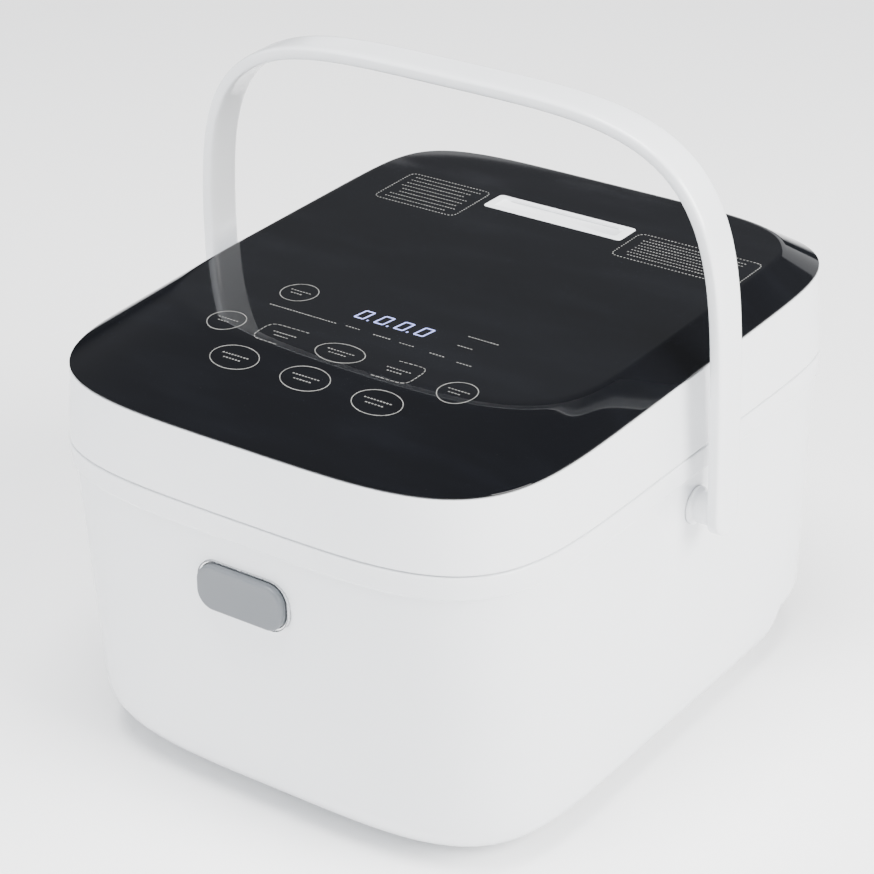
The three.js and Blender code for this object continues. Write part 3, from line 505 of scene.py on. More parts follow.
def pad(name, width, height, radius, steps, place, axis="Z"):
    # A rounded rectangle carried along an axis; each step is (inset, level).
    rings = []
    for inset, level in steps:
        corner = max(0.2, radius - inset)
        flat = roundedOutline(width - 2 * inset, height - 2 * inset, corner)
        across, upward = flat[:, 0], flat[:, 1]
        spot = np.full(len(flat), level)
        if axis == "Z":
            rings.append(np.stack([place[0] + across, place[1] + upward, spot], axis=1))
        else:
            rings.append(np.stack([place[0] + across, spot, place[1] + upward], axis=1))
    return loft(name, rings)


def dress(piece, body, slotName, replaced=(), crease=32, finish=None):
    # Smooth shading broken at sharp edges, then the finish, the body it rides and what it stands for.
    piece.data.shade_smooth()
    piece.data.set_sharp_from_angle(angle=math.radians(crease))
    piece.data.materials.clear()
    piece.data.materials.append(finish or finishes[slotName])
    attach(piece, body)
    if replaced:
        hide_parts(*replaced)
    return piece


# The rounded-rectangle outline.
casing = {
    "width": 266,
    "depth": 336,
    "floor": 3,
    "seam": 164,
    # Corner powers across and along: the front corners are rounder than the rear ones.
    "frontPowers": (4.0, 6.2),
    "rearPowers": (4.9, 7.8),
    "openingPowers": (4.4, 6.9),
    "wall": 3,
    "collar": 11,  # height of the band under the seam
    "collarStep": 1.5,
    "bottomRadius": 26,
    "rearRadius": 17,
    "sideTaper": 0.012,
    "frontTaper": 0.09,
    "rearTaper": 0.02,
    "undercutY": 103,
    "undercutHeight": 14.5,
    "undercutBlend": 9,
    "openingHalfX": 88,
    "openingFront": -112,
    "openingRear": 88,
    "columns": 420,
}


def bent(value, power):
    # |value|^(2/power) with the sign of the value: turns a circle into a superellipse.
    return np.sign(value) * np.abs(value) ** (2 / power)


def spreadAngles(count):
    # Angles round the outline whose points are spread by length and by turning, half and half.
    share = np.linspace(0, 1, 6000)
    near = share ** 4 / (share ** 4 + (1 - share) ** 4)
    angle = np.concatenate([(near[:-1] + k) * np.pi / 2 for k in range(4)] + [[2 * np.pi]])
    x, y = superPoints(angle, casing["width"] / 2, casing["depth"] / 2)
    dx, dy = np.diff(x), np.diff(y)
    length = np.hypot(dx, dy)
    heading = np.unwrap(np.arctan2(dy, dx))
    turning = np.abs(np.diff(heading, append=heading[-1]))
    measure = np.concatenate([[0], np.cumsum(length / length.sum() + turning / turning.sum())])
    wanted = (np.arange(count) + 0.5) / count * measure[-1]
    return np.interp(wanted, measure, angle)


def superPoints(angle, halfX, halfY, front=casing["frontPowers"], rear=casing["rearPowers"]):
    # Superellipse: x = halfX·|cos|^(2/powerX), y = halfY·|sin|^(2/powerY), each with its sign.
    c, s = np.cos(angle), np.sin(angle)
    powerX, powerY = (np.where(s < 0, *pair) for pair in zip(front, rear))
    return halfX * bent(c, powerX), halfY * bent(s, powerY)


angles = spreadAngles(casing["columns"])


def outline(halfX, frontY, rearY):
    # The outline ring between a front and a rear; any of the three may vary along the ring.
    x, y = superPoints(angles, halfX, (rearY - frontY) / 2)
    return x, y + (rearY + frontY) / 2


def bodyRing(z, inset):
    # Outline of the body at a height, before the foot curls under.
    drop = casing["seam"] - z
    below = np.clip((drop - casing["collar"]) / 1.8, 0, 1)
    total = inset + casing["collarStep"] * below * below * (3 - 2 * below)
    return outline(
        casing["width"] / 2 - casing["sideTaper"] * drop - total,
        -(casing["depth"] / 2 - casing["frontTaper"] * drop - total),
        casing["depth"] / 2 - casing["rearTaper"] * drop - total,
    )


def rearShare(y):
    # 0 over the front of the underside, 1 over the raised rear part.
    t = np.clip((y - casing["undercutY"]) / casing["undercutBlend"], 0, 1)
    return t * t * (3 - 2 * t)


def bodySkin(inset, curlSteps, wallSteps):
    # Rings from the flat underside up to the seam. The underside rises behind undercutY, and the
    # wall meets it in a quarter-round curl whose radius is smaller at the rear.
    share = rearShare(bodyRing(casing["seam"], 0)[1])
    lift = casing["floor"] + casing["undercutHeight"] * share + inset
    curl = casing["bottomRadius"] + (casing["rearRadius"] - casing["bottomRadius"]) * share - inset
    rings = []
    for angle in np.linspace(np.pi / 2, 0, curlSteps):
        z = lift + curl * (1 - math.sin(angle))
        rings.append(ringAt(bodyRing(z, inset + curl * (1 - math.cos(angle))), z))
    top = casing["seam"] - (casing["collar"] + 2.4 if inset == 0 else 0)
    for part in np.linspace(0, 1, wallSteps + 1)[1:]:
        z = lift + curl + (top - lift - curl) * part
        rings.append(ringAt(bodyRing(z, inset), z))
    return rings


def underside(skin, inset, steps):
    # Rings from the edge of the base opening out to the start of the curl.
    x, y, _ = skin[0].T
    halfX, front, rear = casing["openingHalfX"], casing["openingFront"], casing["openingRear"]
    powers = casing["openingPowers"]
    ringX, ringY = superPoints(angles, halfX, (rear - front) / 2, powers, powers)
    edge = np.stack([ringX, ringY + (rear + front) / 2], axis=1)
    rings = []
    for part in np.linspace(0, 1, steps + 1)[:-1]:
        flat = edge * (1 - part) + np.stack([x, y], axis=1) * part
        z = casing["floor"] + casing["undercutHeight"] * rearShare(flat[:, 1]) + inset
        rings.append(np.column_stack([flat, z]))
    return rings


def bodySolid():
    seam, collar = casing["seam"], casing["collar"]
    outer = bodySkin(0, 14, 16)
    rings = underside(outer, 0, 16) + outer
    steps = [(0, seam - collar + rise) for rise in (-1.8, -1.35, -0.9, -0.45, 0, 0.6, collar - 5)]
    steps += [(1 - math.cos(angle), seam - 1 + math.sin(angle)) for angle in np.linspace(0, np.pi / 2, 5)]
    for inset, z in steps:
        rings.append(ringAt(bodyRing(z, inset), z))
    inner = bodySkin(casing["wall"], 7, 8)
    rings += inner[::-1] + underside(inner, casing["wall"], 8)[::-1]
    return loft("body_shell_fine", rings, closeRows=True)


button = {
    "width": 48,
    "height": 22.6,
    "radius": 9,
    "z": 125,
    "proud": 5,
    "bezel": 1.5,
    "gap": 0.45,
    "rimProud": 1.3,
    "rimDepth": 5,
    "rimSoft": 0.7,
    "soft": 1.1,
    "dish": ((2.2, 0.05), (4.0, 0.16), (8.0, 0.22)),
    "stemEnd": -151.8,
    "stemHalf": 6,
}
handle = {
    "span": 298.4,
    "thickness": 6.9,
    "width": 20.5,
    "pivotY": 8,
    "pivotZ": 135,
    "top": 325,
    "baseZ": 104,
    "powerX": 4.08,
    "powerZ": 6.26,
    "sectionPower": 5,
    "lean": 2.6,  # degrees forward of upright
    "bore": 4.1,
    "boreDepth": 4.6,
}
inlet = {"x": 58, "z": 45, "width": 28, "height": 20}
fan = {"x": -52, "y": 125, "size": 55}
frontTaper = casing["frontTaper"] * (casing["seam"] - button["z"])
sideTaper = casing["sideTaper"] * (casing["seam"] - handle["pivotZ"])
frontFace = -(casing["depth"] / 2 - frontTaper - casing["collarStep"])
sideFace = casing["width"] / 2 - sideTaper - casing["collarStep"]


def boxSteps(low, high):
    return [(0, low), (0, high)]  # straight sides for pad()


def bodyPiece():
    grow = 2 * button["bezel"] + 0.2
    hole = pad("hole", button["width"] + grow, button["height"] + grow, button["radius"] + grow / 2,
               boxSteps(-200, frontFace + 12), (0, button["z"]), "Y")
    x0, x1 = (inlet["x"] + side * (inlet["width"] / 2 + 0.3) for side in (-1, 1))
    z0, z1 = (inlet["z"] + side * (inlet["height"] / 2 + 0.3) for side in (-1, 1))
    cuts = [hole, block(x0, x1, 150, 200, z0, z1)]
    cuts += [rodX(5.3, x, x + 20, handle["pivotY"], handle["pivotZ"]) for x in (-140, 120)]
    shelf = casing["floor"] + casing["undercutHeight"]
    for row in range(6):
        y = fan["y"] + (row - 2.5) * 7
        cuts.append(pad("slot", 40, 3, 1.4, boxSteps(shelf - 3, shelf + 6), (fan["x"], y)))
    return carve(bodySolid(), removed=cuts)


dress(bodyPiece(), "base", "white_gloss_plastic", ["body_shell"])
print("casing done")

# Lid band and touch panel.
lid = {
    "gap": 0.6,
    "height": 39.9,
    "rise": 0.0248,  # the top edge climbs this much for each mm to the rear
    "wall": 3.5,
    "edgeInset": 2,
    "rearEdgeInset": 5,
    "crownEdge": 1.2,
    "crownHeight": 12,
    "crownSide": 16.4,
    "crownRear": 21,
    "crownFront": 74,
    "straight": 0.86,  # share of the crown's slope that is straight
    "panelWall": 2.5,
    "hingeY": 142,
    "hingeZ": 192,
    "barrel": 17,
    "reach": 84,
    "sweep": 27.8,
    "rimHeight": 9,
    "rimStart": 4,  # how far behind the hinge axis the rim starts
}
ventBox = {
    "length": 80.6,
    "width": 17.1,
    "radius": 2.2,
    "y": 93.3,
    "thickness": 4,
    "dish": (9, 6.5, 1.6),  # how much shorter and narrower, and its corner radius
    "slot": (64, 0.9, 0.4),  # length, width and corner radius
    "slotY": 4.6,
}


def edgeZ(y):
    return casing["seam"] + lid["height"] + lid["rise"] * y


def lidRing(share, inset):
    # Outline of the lid band: share 0 at the seam, 1 at the top edge.
    return (
        casing["width"] / 2 - share * lid["edgeInset"] - inset,
        -(casing["depth"] / 2 - share * lid["edgeInset"] - inset),
        casing["depth"] / 2 - share * lid["rearEdgeInset"] - inset,
    )


def lidLevel(share, inset, drop=0.0):
    x, y = outline(*lidRing(share, inset))
    low = casing["seam"] + lid["gap"]
    return ringAt((x, y), low + (edgeZ(y) - low) * share + drop)


def rearRelief(radius):
    # What the lid must lose behind the hinge axis to clear the body as it turns.
    y, z = lid["hingeY"], lid["hingeZ"]
    return carve(block(-140, 140, y, 200, 100, z), removed=[rodX(radius, -141, 141, y, z)])


def barrelRoom(clearance):
    radius, reach = lid["barrel"] + clearance, lid["reach"] + 0.6
    y, z = lid["hingeY"], lid["hingeZ"]
    return carve(rodX(radius, -reach, reach, y, z), added=[block(-reach, reach, y - radius, 200, 100, z)])


def lidBand():
    soft = 1.0
    turns = np.linspace(0, np.pi / 2, 5)
    rings = [lidLevel(0, soft * (1 - math.sin(a)), soft * (1 - math.cos(a))) for a in turns]
    rings += [lidLevel(share, 0) for share in np.linspace(0.06, 0.97, 14)]
    rings += [lidLevel(1, 0.5 * (1 - math.cos(a)), 0.5 * (math.sin(a) - 1)) for a in turns]
    rings += [lidLevel(share, lid["wall"]) for share in (1, 0.75, 0.5, 0.25, 0)]
    band = loft("lid_band", rings, closeRows=True)
    return carve(band, removed=[rearRelief(lid["sweep"]), barrelRoom(1)])


def crownShare(s):
    # Share of the crown's height at a share of its slope: straight, then rounded over.
    slope = 2 / (1 + lid["straight"])
    over = 1 - slope * (1 - s) ** 2 / (2 * (1 - lid["straight"]))
    return np.where(s < lid["straight"], slope * s, over)


def crownSize(s, inset):
    halfX, frontY, rearY = lidRing(1, inset)
    return halfX - s * lid["crownSide"], frontY + s * lid["crownFront"], rearY - s * lid["crownRear"]


def crownZ(y, s):
    return edgeZ(y) + lid["crownEdge"] + lid["crownHeight"] * crownShare(s)


def crownRing(s, inset, drop):
    x, y = outline(*crownSize(s, inset))
    return ringAt((x, y), crownZ(y, s) - drop)


def panelHeight(x, y):
    # Height of the panel's face above a place: halve the span of s until the ring passes through it.
    low, high = np.zeros_like(x), np.ones_like(x)

    def within(s):
        halfX, frontY, rearY = crownSize(s, 0)
        along = (y - (frontY + rearY) / 2) / ((rearY - frontY) / 2)
        pairs = zip(casing["frontPowers"], casing["rearPowers"])
        powerX, powerY = (np.where(along < 0, *pair) for pair in pairs)
        return np.abs(x / halfX) ** powerX + np.abs(along) ** powerY <= 1

    for _ in range(26):
        half = (low + high) / 2
        inside = within(half)
        low, high = np.where(inside, half, low), np.where(inside, high, half)
    s = np.where(within(np.ones_like(x)), 1.0, low)
    return crownZ(y, s)


def flatten(ring, drop):
    x, y, _ = ring.T
    return ringAt((x, y), edgeZ(y) + drop)


def touchPanel():
    shares = np.concatenate([np.linspace(0, lid["straight"], 26), np.linspace(lid["straight"], 1, 14)[1:]])
    foot = crownRing(0, 0, 0)
    rings = [flatten(crownRing(0, 0.35, 0), 0.3), flatten(foot, 0.65), flatten(foot, 0.95)]
    rings += [crownRing(0.004, 0, 0.02)] + [crownRing(s, 0, 0) for s in shares[1:]]
    crest = crownRing(1, 0, 0)
    middle = crest.mean(axis=0)
    rings += [flatten(crest * part + middle * (1 - part), lid["crownEdge"] + lid["crownHeight"])
              for part in (0.8, 0.6, 0.4, 0.2, 0.05)]
    dome = loft("touch_panel_fine", rings)
    wall = lid["panelWall"]
    hollow = loft("hollow", [flatten(crownRing(0, wall, 0), -7)] +
                  [crownRing(s, wall, wall + 0.8) for s in np.linspace(0, 1, 12)])
    hole = pad("hole", ventBox["length"] + 0.6, ventBox["width"] + 0.6, 2.4,
               boxSteps(160, 300), (0, ventBox["y"]))
    return carve(dome, removed=[hollow, hole])


dress(lidBand(), "lid", "white_gloss_plastic", ["lid_frame"])
dress(touchPanel(), "lid", "black_gloss_panel", ["touch_panel"], crease=24)
print("lid band and panel done")

# Printed marks and the lit clock on the panel's face.
marks = {
    "sunk": 0.12,
    "proud": 0.06,
    "line": 0.42,
    "pitch": 1.7,  # of the small dashes
    "dashWidth": 0.6,
    "rounds": [(-54.7, -48.2), (-64.9, -90.1), (65.4, -91.7)],
    "roundRadius": 9.2,
    "ovals": [(-41.5, -113.8), (-0.4, -89.1), (-1.7, -113.5), (38.4, -114.3)],
    "ovalHalf": (12.6, 8.6),
    "brackets": [
        [(-24.4, -80.6), (-45.5, -80.9), (-45.5, -97.2), (-29.6, -97.5)],
        [(26.6, -81.0), (42.5, -80.4), (42.5, -98.1), (22.3, -98.4)],
    ],
    # Rows of tiny dashes: middle x, y, length.
    "rows": [
        (-38.8, -65.6, 40), (-10.5, -65.0, 9), (5.8, -65.5, 10), (20.3, -65.9, 9), (37.2, -66.9, 8),
        (43.5, -53.7, 8), (47.4, -43.5, 18), (52.7, -68.1, 8), (-32.6, -87.4, 14), (-32.6, -90.4, 9),
        (31.5, -88.3, 13), (31.5, -91.2, 9),
    ],
    "keyRows": ((1.3, 0.62), (-1.6, 0.42)),
    # Two panels of dashes with a dotted outline: x0, x1, y0, y1.
    "labels": [(-94, -45, 65, 100), (44.5, 113, 69, 98)],
    "labelRows": 8,
    "ink": (0.2, 0.2, 0.19),
}
clock = {
    "digits": "0000",  # a new digit needs its strokes in segmentsOf
    "x": -14.5,
    "y": -51,
    "pitch": 11.2,
    "width": 5.6,
    "height": 9.4,
    "slant": 0.16,
    "line": 0.85,
    "glow": (0.42, 0.47, 1.0),
    "strength": 3.2,
}
segmentsOf = {"0": "abcdef"}  # lit strokes of a digit, a at the top, then clockwise, g across


def ribbon(path, width, closed=False):
    # A thin strip laid along a path on the panel: half the width to each side, just above the face.
    path = np.asarray(path, float)
    ahead, behind = np.roll(path, -1, axis=0), np.roll(path, 1, axis=0)
    if not closed:
        ahead[-1], behind[0] = path[-1], path[0]
    along = ahead - behind
    side = np.stack([-along[:, 1], along[:, 0]], axis=1) * (width / 2 / np.linalg.norm(along, axis=1)[:, None])
    corners = []
    for sign, lift in ((-1, -marks["sunk"]), (-1, marks["proud"]), (1, marks["proud"]), (1, -marks["sunk"])):
        spot = path + sign * side
        corners.append(np.column_stack([spot, panelHeight(*spot.T) + lift]))
    points = np.stack(corners, axis=1).reshape(-1, 3)
    faces = gridFaces(len(path), 4, closed)
    if not closed:
        faces = np.vstack([faces, [3, 2, 1, 0], np.arange(4) + len(points) - 4])
    return points, faces if signedVolume(points, faces) > 0 else faces[:, ::-1]


def joined(name, strips):
    points, faces, count = [], [], 0
    for spots, quads in strips:
        points.append(spots)
        faces.append(quads + count)
        count += len(spots)
    return meshFrom(name, np.vstack(points), np.vstack(faces).tolist())


def dashes(path, pitch, share, width):
    # Short strips along a path, each a share of the pitch long.
    path = np.asarray(path, float)
    length = np.concatenate([[0], np.cumsum(np.linalg.norm(np.diff(path, axis=0), axis=1))])
    starts = np.arange(0, length[-1] - pitch * share, pitch)
    ends = np.stack([starts, starts + pitch * share], axis=1)
    places = np.stack([np.interp(ends, length, path[:, k]) for k in (0, 1)], axis=-1)
    return [ribbon(pair, width) for pair in places]


def dashRow(x, y, length, share=0.62):
    return dashes([(x - length / 2, y), (x + length / 2, y)], marks["pitch"], share, marks["dashWidth"])


def printedMarks():
    angle = np.linspace(0, 2 * np.pi, 56, endpoint=False)
    keys = [(x, y, marks["roundRadius"], marks["roundRadius"]) for x, y in marks["rounds"]]
    keys += [(x, y, *marks["ovalHalf"]) for x, y in marks["ovals"]]
    strips = []
    for x, y, halfX, halfY in keys:
        strips.append(ribbon(np.stack([x + halfX * np.cos(angle), y + halfY * np.sin(angle)], axis=1),
                             marks["line"], closed=True))
        for drop, part in marks["keyRows"]:
            strips += dashRow(x, y + drop, halfX * 2 * part)
    for corners in marks["brackets"]:
        strips += dashes(rounded(corners, 5), 2.6, 0.72, marks["line"])
    for row in marks["rows"]:
        strips += dashRow(*row)
    for x0, x1, y0, y1 in marks["labels"]:
        edge = rounded([(x0, y0 + 9), (x0, y0), (x1, y0), (x1, y1), (x0, y1), (x0, y0 + 9)], 4)
        strips += dashes(edge, 1.9, 0.5, 0.6)
        for level in np.linspace(y0 + 4, y1 - 4, marks["labelRows"]):
            shift = 1.7 * math.sin(level * 1.9)
            strips += dashRow((x0 + x1) / 2 + shift, level, (x1 - x0) * 0.84 - abs(shift) * 3, 0.55)
    return joined("panel_marks", strips)


def clockDigits():
    w, h = clock["width"] / 2, clock["height"] / 2
    ends = {"a": (-w, h, w, h), "b": (w, h, w, 0), "c": (w, 0, w, -h), "d": (-w, -h, w, -h),
            "e": (-w, -h, -w, 0), "f": (-w, 0, -w, h), "g": (-w, 0, w, 0)}
    strips = []
    for place, digit in enumerate(clock["digits"]):
        x = clock["x"] + clock["pitch"] * place
        pairs = [np.reshape(ends[letter], (2, 2)) * 0.86 for letter in segmentsOf[digit]]
        pairs += [np.array([[w + 2.4, -h], [w + 2.4, 1.1 - h]])] if place < 3 else []
        for pair in pairs:
            slanted = pair + np.stack([pair[:, 1] * clock["slant"], [0, 0]], axis=1)
            strips.append(ribbon(slanted + [x, clock["y"]], clock["line"]))
    return joined("clock_digits", strips)


def inkFinish():
    # Pale screen print whose density varies a little.
    finish = Finish("screen_print")
    worn = finish.noise(240, 3).smooth(0.3, 0.7)
    thin = tuple(value * 0.6 for value in marks["ink"])
    finish.set(Base_Color=finish.mix(opaque(thin), opaque(marks["ink"]), worn), Roughness=0.4 + worn * 0.15)
    return finish.material


def glowFinish():
    # Lit segments under the panel, a little uneven along their length.
    finish = Finish("clock_glow")
    uneven = finish.noise(500, 2).smooth(0.2, 0.8)
    dim = tuple(value * 0.7 for value in clock["glow"])
    colour = finish.mix(opaque(dim), opaque(clock["glow"]), uneven)
    finish.set(Base_Color=(0.02, 0.02, 0.03, 1), Roughness=0.3, Emission_Color=colour,
               Emission_Strength=clock["strength"])
    return finish.material


dress(printedMarks(), "lid", "white_gloss_plastic", finish=inkFinish())
dress(clockDigits(), "lid", "white_gloss_plastic", finish=glowFinish())
print("marks and clock done")

# Rear rim and hinge barrel.
def rearRim():
    # A low upstand behind the hinge that fills under the lid's rounded rear edge.
    low, high = casing["seam"] - 0.2, casing["seam"] + lid["rimHeight"]
    rings = []
    for inset, z in [(0.2, low), (0.2, high - 0.6), (0.8, high), (2.6, high), (2.9, low)]:
        rings.append(ringAt(outline(*lidRing(0, inset)), z))
    tyre = loft("rear_rim", rings, closeRows=True)
    y, z = lid["hingeY"], lid["hingeZ"]
    return carve(tyre, kept=[block(-150, 150, y + lid["rimStart"], 200, 100, 200)],
                 removed=[rodX(lid["sweep"] + 0.6, -150, 150, y, z)])


barrel = {
    "wall": 3.5,
    "cheek": 4,
    "cheekInset": 1,
    "foot": (-13, 8, 160.8, -6),  # front and rear from the axis, floor, top from the axis
    "mouth": (-8, -9, 5),  # rear, low and high edges of the opening, from the axis
    "bore": 4.1,
}


def hingeBarrel():
    # A tube on a foot, open towards the front, with a cheek at each end and a rib inside.
    reach, radius, y, z = lid["reach"], lid["barrel"], lid["hingeY"], lid["hingeZ"]
    front, rear, floorZ, top = barrel["foot"]
    foot = block(-reach, reach, y + front, y + rear, floorZ, z + top)
    solid = carve(rodX(radius, -reach, reach, y, z), added=[foot])
    hollow = rodX(radius - barrel["wall"], -reach, reach, y, z)
    edge, low, high = barrel["mouth"]
    mouth = block(-reach - 1, reach + 1, y - 2 * radius, y + edge, z + low, z + high)
    cheek, inset = barrel["cheek"], barrel["cheekInset"]
    starts = (-reach, -cheek / 2, reach - cheek)
    cheeks = [rodX(radius - inset, x, x + cheek, y, z) for x in starts]
    shell = carve(carve(solid, removed=[hollow, mouth]), added=cheeks)
    shell = carve(shell, removed=[rodX(barrel["bore"], -150, 150, y, z)])
    shell.name = "hinge_barrel"
    return shell


dress(rearRim(), "base", "white_gloss_plastic")
dress(hingeBarrel(), "base", "white_gloss_plastic", ["hinge_housing"])

# Release button.
def buttonPieces():
    width, height, radius, z = (button[key] for key in ("width", "height", "radius", "z"))
    face, back = frontFace - button["rimProud"], frontFace + button["rimDepth"]
    grow, room = 2 * button["bezel"], 2 * button["gap"]
    rimSteps = np.vstack([[[0, back]], edgeSteps(button["rimSoft"], back, face)[6:]])
    ring = pad("button_bezel_fine", width + grow, height + grow, radius + grow / 2, rimSteps, (0, z), "Y")
    through = boxSteps(face - 2, back + 2)
    hole = pad("hole", width + room, height + room, radius + room / 2, through, (0, z), "Y")
    dress(carve(ring, removed=[hole]), "base", "silver_trim", ["button_bezel"])
    # The cap is rounded over at the face and very slightly dished.
    faceY, soft = frontFace - button["proud"], button["soft"]
    turns = np.linspace(0, np.pi / 2, 7)
    steps = [(0, frontFace + 3)] + [(soft * (1 - math.cos(a)), faceY + soft * (1 - math.sin(a))) for a in turns]
    steps += [(inset, faceY + depth) for inset, depth in button["dish"]]
    cap = pad("release_button_fine", width, height, radius, steps, (0, z), "Y")
    # The stem stops short of the latch lever; a low nose at its end reaches the lever.
    end, half = button["stemEnd"], button["stemHalf"]
    stem = block(-half, half, frontFace + 2, end - 3.5, z - 4, z + 4)
    nose = block(-half, half, end - 4, end, z - 4, z - 2)
    dress(carve(cap, added=[stem, nose]), "button", "grey_button_plastic", ["release_button"])


buttonPieces()
print("release button done")

# Steam vent cover.
def ventCover():
    # A strip let into the panel, with a shallow dish and a steam slot along each long side of it.
    y, length, width = ventBox["y"], ventBox["length"], ventBox["width"]
    top = edgeZ(y) + lid["crownEdge"] + lid["crownHeight"] + 0.1
    low = top - ventBox["thickness"]
    steps = np.vstack([[[0, low]], edgeSteps(0.5, low, top)[6:]])
    cover = pad("vent_cover_fine", length, width, ventBox["radius"], steps, (0, y))
    shorter, narrower, radius = ventBox["dish"]
    dish = pad("dish", length - shorter, width - narrower, radius,
               [(0.5, top - 0.8), (0, top - 0.4), (0, top + 2)], (0, y))
    slots = [pad("slot", *ventBox["slot"], boxSteps(low - 1, top + 1), (0, y + side * ventBox["slotY"]))
             for side in (-1, 1)]
    return carve(cover, removed=[dish] + slots)


dress(ventCover(), "vent_cassette", "white_gloss_plastic", ["vent_cover"], crease=40)

# Carry handle and bosses.
def handlePath(steps):
    # Arch |x/a|^powerX + |(z - baseZ)/b|^powerZ = 1 from the left pivot over to the right, then
    # half-round ends below the pivots. Gives the middle line's x and z, and half widths.
    halfX = handle["span"] / 2 - handle["thickness"] / 2
    high = handle["top"] - handle["thickness"] / 2 - handle["baseZ"]
    start = math.asin(((handle["pivotZ"] - handle["baseZ"]) / high) ** (handle["powerZ"] / 2))
    dense = np.linspace(start, np.pi - start, 4000)
    c, s = np.cos(dense), np.sin(dense)
    x = halfX * bent(c, handle["powerX"])
    z = handle["baseZ"] + high * bent(s, handle["powerZ"])
    length = np.concatenate([[0], np.cumsum(np.hypot(np.diff(x), np.diff(z)))])
    even = np.linspace(0, length[-1], steps)
    x, z = np.interp(even, length, x), np.interp(even, length, z)
    radius = handle["width"] / 2
    turn = np.linspace(0, np.pi / 2, 14)[1:]
    below, narrow = radius * np.sin(turn), radius * np.cos(turn)
    narrow[-1] = 0.35
    x = np.concatenate([np.full(13, x[0]), x, np.full(13, x[-1])])
    z = np.concatenate([handle["pivotZ"] - below[::-1], z, handle["pivotZ"] - below])
    half = np.concatenate([narrow[::-1], np.full(steps, radius), narrow])
    return x, z, half


def handleArch():
    x, z, half = handlePath(150)
    dx, dz = np.gradient(x), np.gradient(z)
    size = np.hypot(dx, dz)
    outX, outZ = dz / size, -dx / size
    # Section |u|^power + |v|^power = 1, stretched to the strap's thickness and width.
    angle = np.linspace(0, 2 * np.pi, 40, endpoint=False)
    c, s = np.cos(angle), np.sin(angle)
    out = bent(c, handle["sectionPower"]) * handle["thickness"] / 2
    across = bent(s, handle["sectionPower"]) * half[:, None]
    height = z[:, None] + outZ[:, None] * out - handle["pivotZ"]
    # The whole bail leans forward, turned about its pivots.
    lean = math.radians(handle["lean"])
    px = x[:, None] + outX[:, None] * out
    py = handle["pivotY"] + across * math.cos(lean) - height * math.sin(lean)
    pz = handle["pivotZ"] + across * math.sin(lean) + height * math.cos(lean)
    arch = loft("carry_handle_fine", np.stack([px, py, pz], axis=-1))
    inner = handle["span"] / 2 - handle["thickness"]
    deep, pivotY, pivotZ = handle["boreDepth"], handle["pivotY"], handle["pivotZ"]
    ends = (-inner - deep, -inner + 20), (inner - 20, inner + deep)
    holes = [rodX(handle["bore"], low, high, pivotY, pivotZ) for low, high in ends]
    return carve(arch, removed=holes)


boss = {"flange": 9.4, "neck": 7.6, "stub": 4, "stubLength": 4.2}


def handleBoss(name, sign):
    # Turned boss: flange against the casing, neck, face under the handle, pivot stub.
    seat, face = sideFace + 0.2, handle["span"] / 2 - handle["thickness"] - 0.3
    flange, neck, stub = boss["flange"], boss["neck"], boss["stub"]
    profile = rounded([
        [0, seat - 4], [5, seat - 4], [5, seat], [flange, seat], [flange, seat + 1.8], [neck, seat + 3],
        [neck, face - 0.4], [neck - 0.4, face], [stub, face], [stub, face + boss["stubLength"]],
        [0, face + boss["stubLength"]],
    ], 0.5)
    profile[0, 0] = profile[-1, 0] = 0.02
    c, s = circle(1.0, 96)
    r, x = profile[:, 0][:, None], profile[:, 1][:, None]
    rings = np.stack([sign * x + 0 * c, handle["pivotY"] + r * c, handle["pivotZ"] + r * s], axis=-1)
    return loft(name, rings)


dress(handleArch(), "handle", "white_gloss_plastic", ["carry_handle"], crease=40)
for sideName, sign in (("left", -1), ("right", 1)):
    bossNode = f"handle_boss_{sideName}"
    dress(handleBoss(bossNode + "_fine", sign), "base", "white_gloss_plastic", [bossNode])
print("handle done")

# Pot, deck, lid underside and feet: what shows when the lid is open or from below.
inside = {
    "potRadius": 108,
    "potWall": 2.2,
    "potCorner": 32,
    "potBottom": 26,
    "potY": -18,
    "deckTop": 160.5,
    "deckThickness": 3,
    "deckBore": 112,
    "sleeve": (114.5, 14),  # outer radius and depth of the collar round the pot
    "lip": 7.3,
    "lipThickness": 2.9,
    "gap": 0.3,
    "latchY": -149,
    "linerZ": 168.4,
    "linerThickness": 2.5,
    "linerPosts": [(-68, -98), (68, -98), (-68, -42), (68, -42)],
    "postTop": 186.1,
    "plateRadius": 106.5,
    "sensor": (34, -62, 5.6),
    "feet": [(-72, -94), (-72, 70), (72, -94), (72, 70)],
}
potOuter = inside["potRadius"] + inside["potWall"]
rimBottom = inside["deckTop"] + inside["gap"]
rimTop = rimBottom + inside["lipThickness"]


def potArc(offset):
    # Quarter circle of the pot's lower corner, from its floor up to its wall.
    turn = np.linspace(0, np.pi / 2, 16)
    reach, centre = inside["potCorner"] + offset, potOuter - inside["potCorner"]
    low = inside["potBottom"] + inside["potCorner"]
    return np.stack([centre + reach * np.sin(turn), low - reach * np.cos(turn)], axis=1)


def innerPot():
    lip, radius, floorZ = potOuter + inside["lip"], inside["potRadius"], inside["potBottom"]
    rim = rounded([[potOuter, rimBottom - 9], [potOuter, rimBottom], [lip, rimBottom], [lip, rimTop],
                   [radius, rimTop], [radius, rimTop - 9]], 1.1)
    profile = np.vstack([[[0.02, floorZ]], potArc(0), rim, potArc(-inside["potWall"])[::-1],
                         [[0.02, floorZ + inside["potWall"]]]])
    return lathe("inner_pot_fine", profile, 0, inside["potY"], 192)


def flatPlate(name, ring, low, high):
    # A plate between two levels whose upper and lower edges are slightly rounded.
    steps = ((0.5, low), (0, low + 0.5), (0, high - 0.5), (0.5, high))
    return loft(name, [ringAt(ring(inset), z) for inset, z in steps])


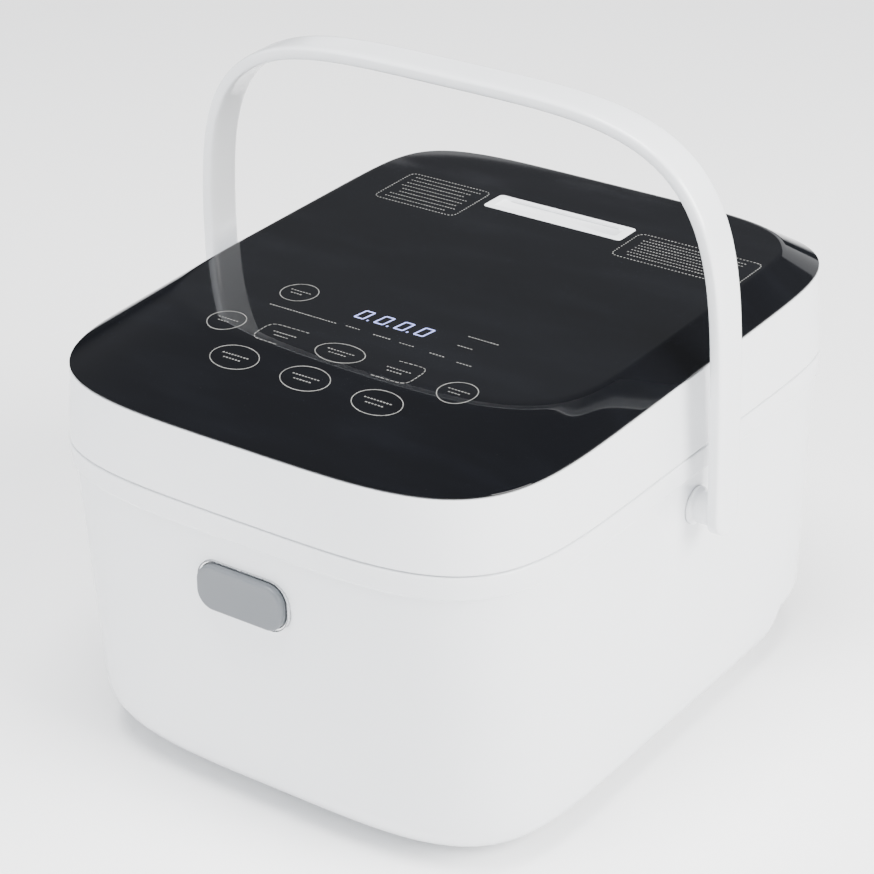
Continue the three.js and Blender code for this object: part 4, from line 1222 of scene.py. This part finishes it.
def potDeck():
    top, y = inside["deckTop"], inside["potY"]
    low = top - inside["deckThickness"]
    radius, depth = inside["sleeve"]
    wall = casing["wall"] + inside["gap"]
    plate = flatPlate("pot_deck_fine", lambda inset: bodyRing(low, wall + inset), low, top)
    slot = pad("slot", 22, 16, 2, boxSteps(low - 1, top + 1), (0, inside["latchY"]))
    return carve(plate, added=[rodZ(radius, 0, y, top - depth, top - 0.2, 192)],
                 removed=[rodZ(inside["deckBore"], 0, y, 100, 200, 192), slot])


def lidLiner():
    low = inside["linerZ"]
    top = low + inside["linerThickness"]
    wall = lid["wall"] + inside["gap"]
    plate = flatPlate("lid_liner_fine", lambda inset: outline(*lidRing(0.15, wall + inset)), low, top)
    posts = [rodZ(3.5, x, y, top - 0.5, inside["postTop"]) for x, y in inside["linerPosts"]]
    x, y, radius = inside["sensor"]
    cuts = [rodZ(6, 0, ventBox["y"], 100, 300), rodZ(radius, x, y, 100, 300)]
    cuts += [pad("room", 24, 14.5, 2, boxSteps(100, 300), (0, inside["latchY"] - 1.75))]
    cuts += [rearRelief(lid["sweep"] + 2), barrelRoom(2)]
    return carve(plate, added=posts, removed=cuts)


def innerLidPlate():
    # A pressed disc with a raised middle, steam holes at the rear and a hole for the sensor.
    radius, low = inside["plateRadius"], rimTop + 1.4
    profile = rounded([[0.02, low], [radius - 12, low], [radius - 9, low - 1], [radius, low - 1],
                       [radius, low + 0.4], [radius - 8, low + 0.4], [radius - 11, low + 1.4],
                       [0.02, low + 1.4]], 0.45)
    disc = lathe("inner_lid_plate_fine", profile, 0, inside["potY"], 192)
    x, y, hole = inside["sensor"]
    holes = [rodZ(2, place * 9, ventBox["y"] - 26, 100, 300) for place in range(-2, 3)]
    return carve(disc, removed=holes + [rodZ(hole, x, y, 100, 300)])


def lidGasket():
    near, far, low = inside["plateRadius"] + inside["gap"], potOuter + inside["lip"] - 2, rimTop + inside["gap"]
    high = inside["linerZ"] - inside["gap"]
    profile = [[near, low + 1.5], [near + 3, low], [far, low], [far, low + 1], [near + 4, low + 2],
               [near + 3, high], [near, high]]
    smooth = rounded(profile + profile[:2], 0.3)[1:-1]
    return lathe("lid_gasket_fine", smooth, 0, inside["potY"], 192, closeRows=True)


def footPiece(name, x, y):
    profile = rounded([[0.02, 0], [9, 0], [9, 2.7], [3, 2.7], [3, 8.3], [0.02, 8.3]], 0.9)
    return lathe(name, profile, x, y, 64)


dress(innerPot(), "base", "pot_coating", ["inner_pot"])
dress(potDeck(), "base", "inner_grey_plastic", ["pot_deck"])
dress(lidLiner(), "lid", "inner_grey_plastic", ["lid_liner"])
dress(innerLidPlate(), "lid", "aluminium", ["inner_lid_plate"])
dress(lidGasket(), "lid", "silicone", ["lid_gasket"])
for (x, y), side in zip(inside["feet"], ("front_left", "rear_left", "front_right", "rear_right")):
    dress(footPiece(f"foot_{side}_fine", x, y), "base", "rubber", [f"foot_{side}"])
print("inside done")

# Other nodes keep their shape.
slotOf = {part["node"]: part["material_slot"] for part in frame["record"]["subparts"]}
for nodeName, piece in frame["nodes"].items():
    finish = finishes[slotOf[nodeName]]
    if piece.data.materials:
        for index in range(len(piece.data.materials)):
            piece.data.materials[index] = finish
    else:
        piece.data.materials.append(finish)
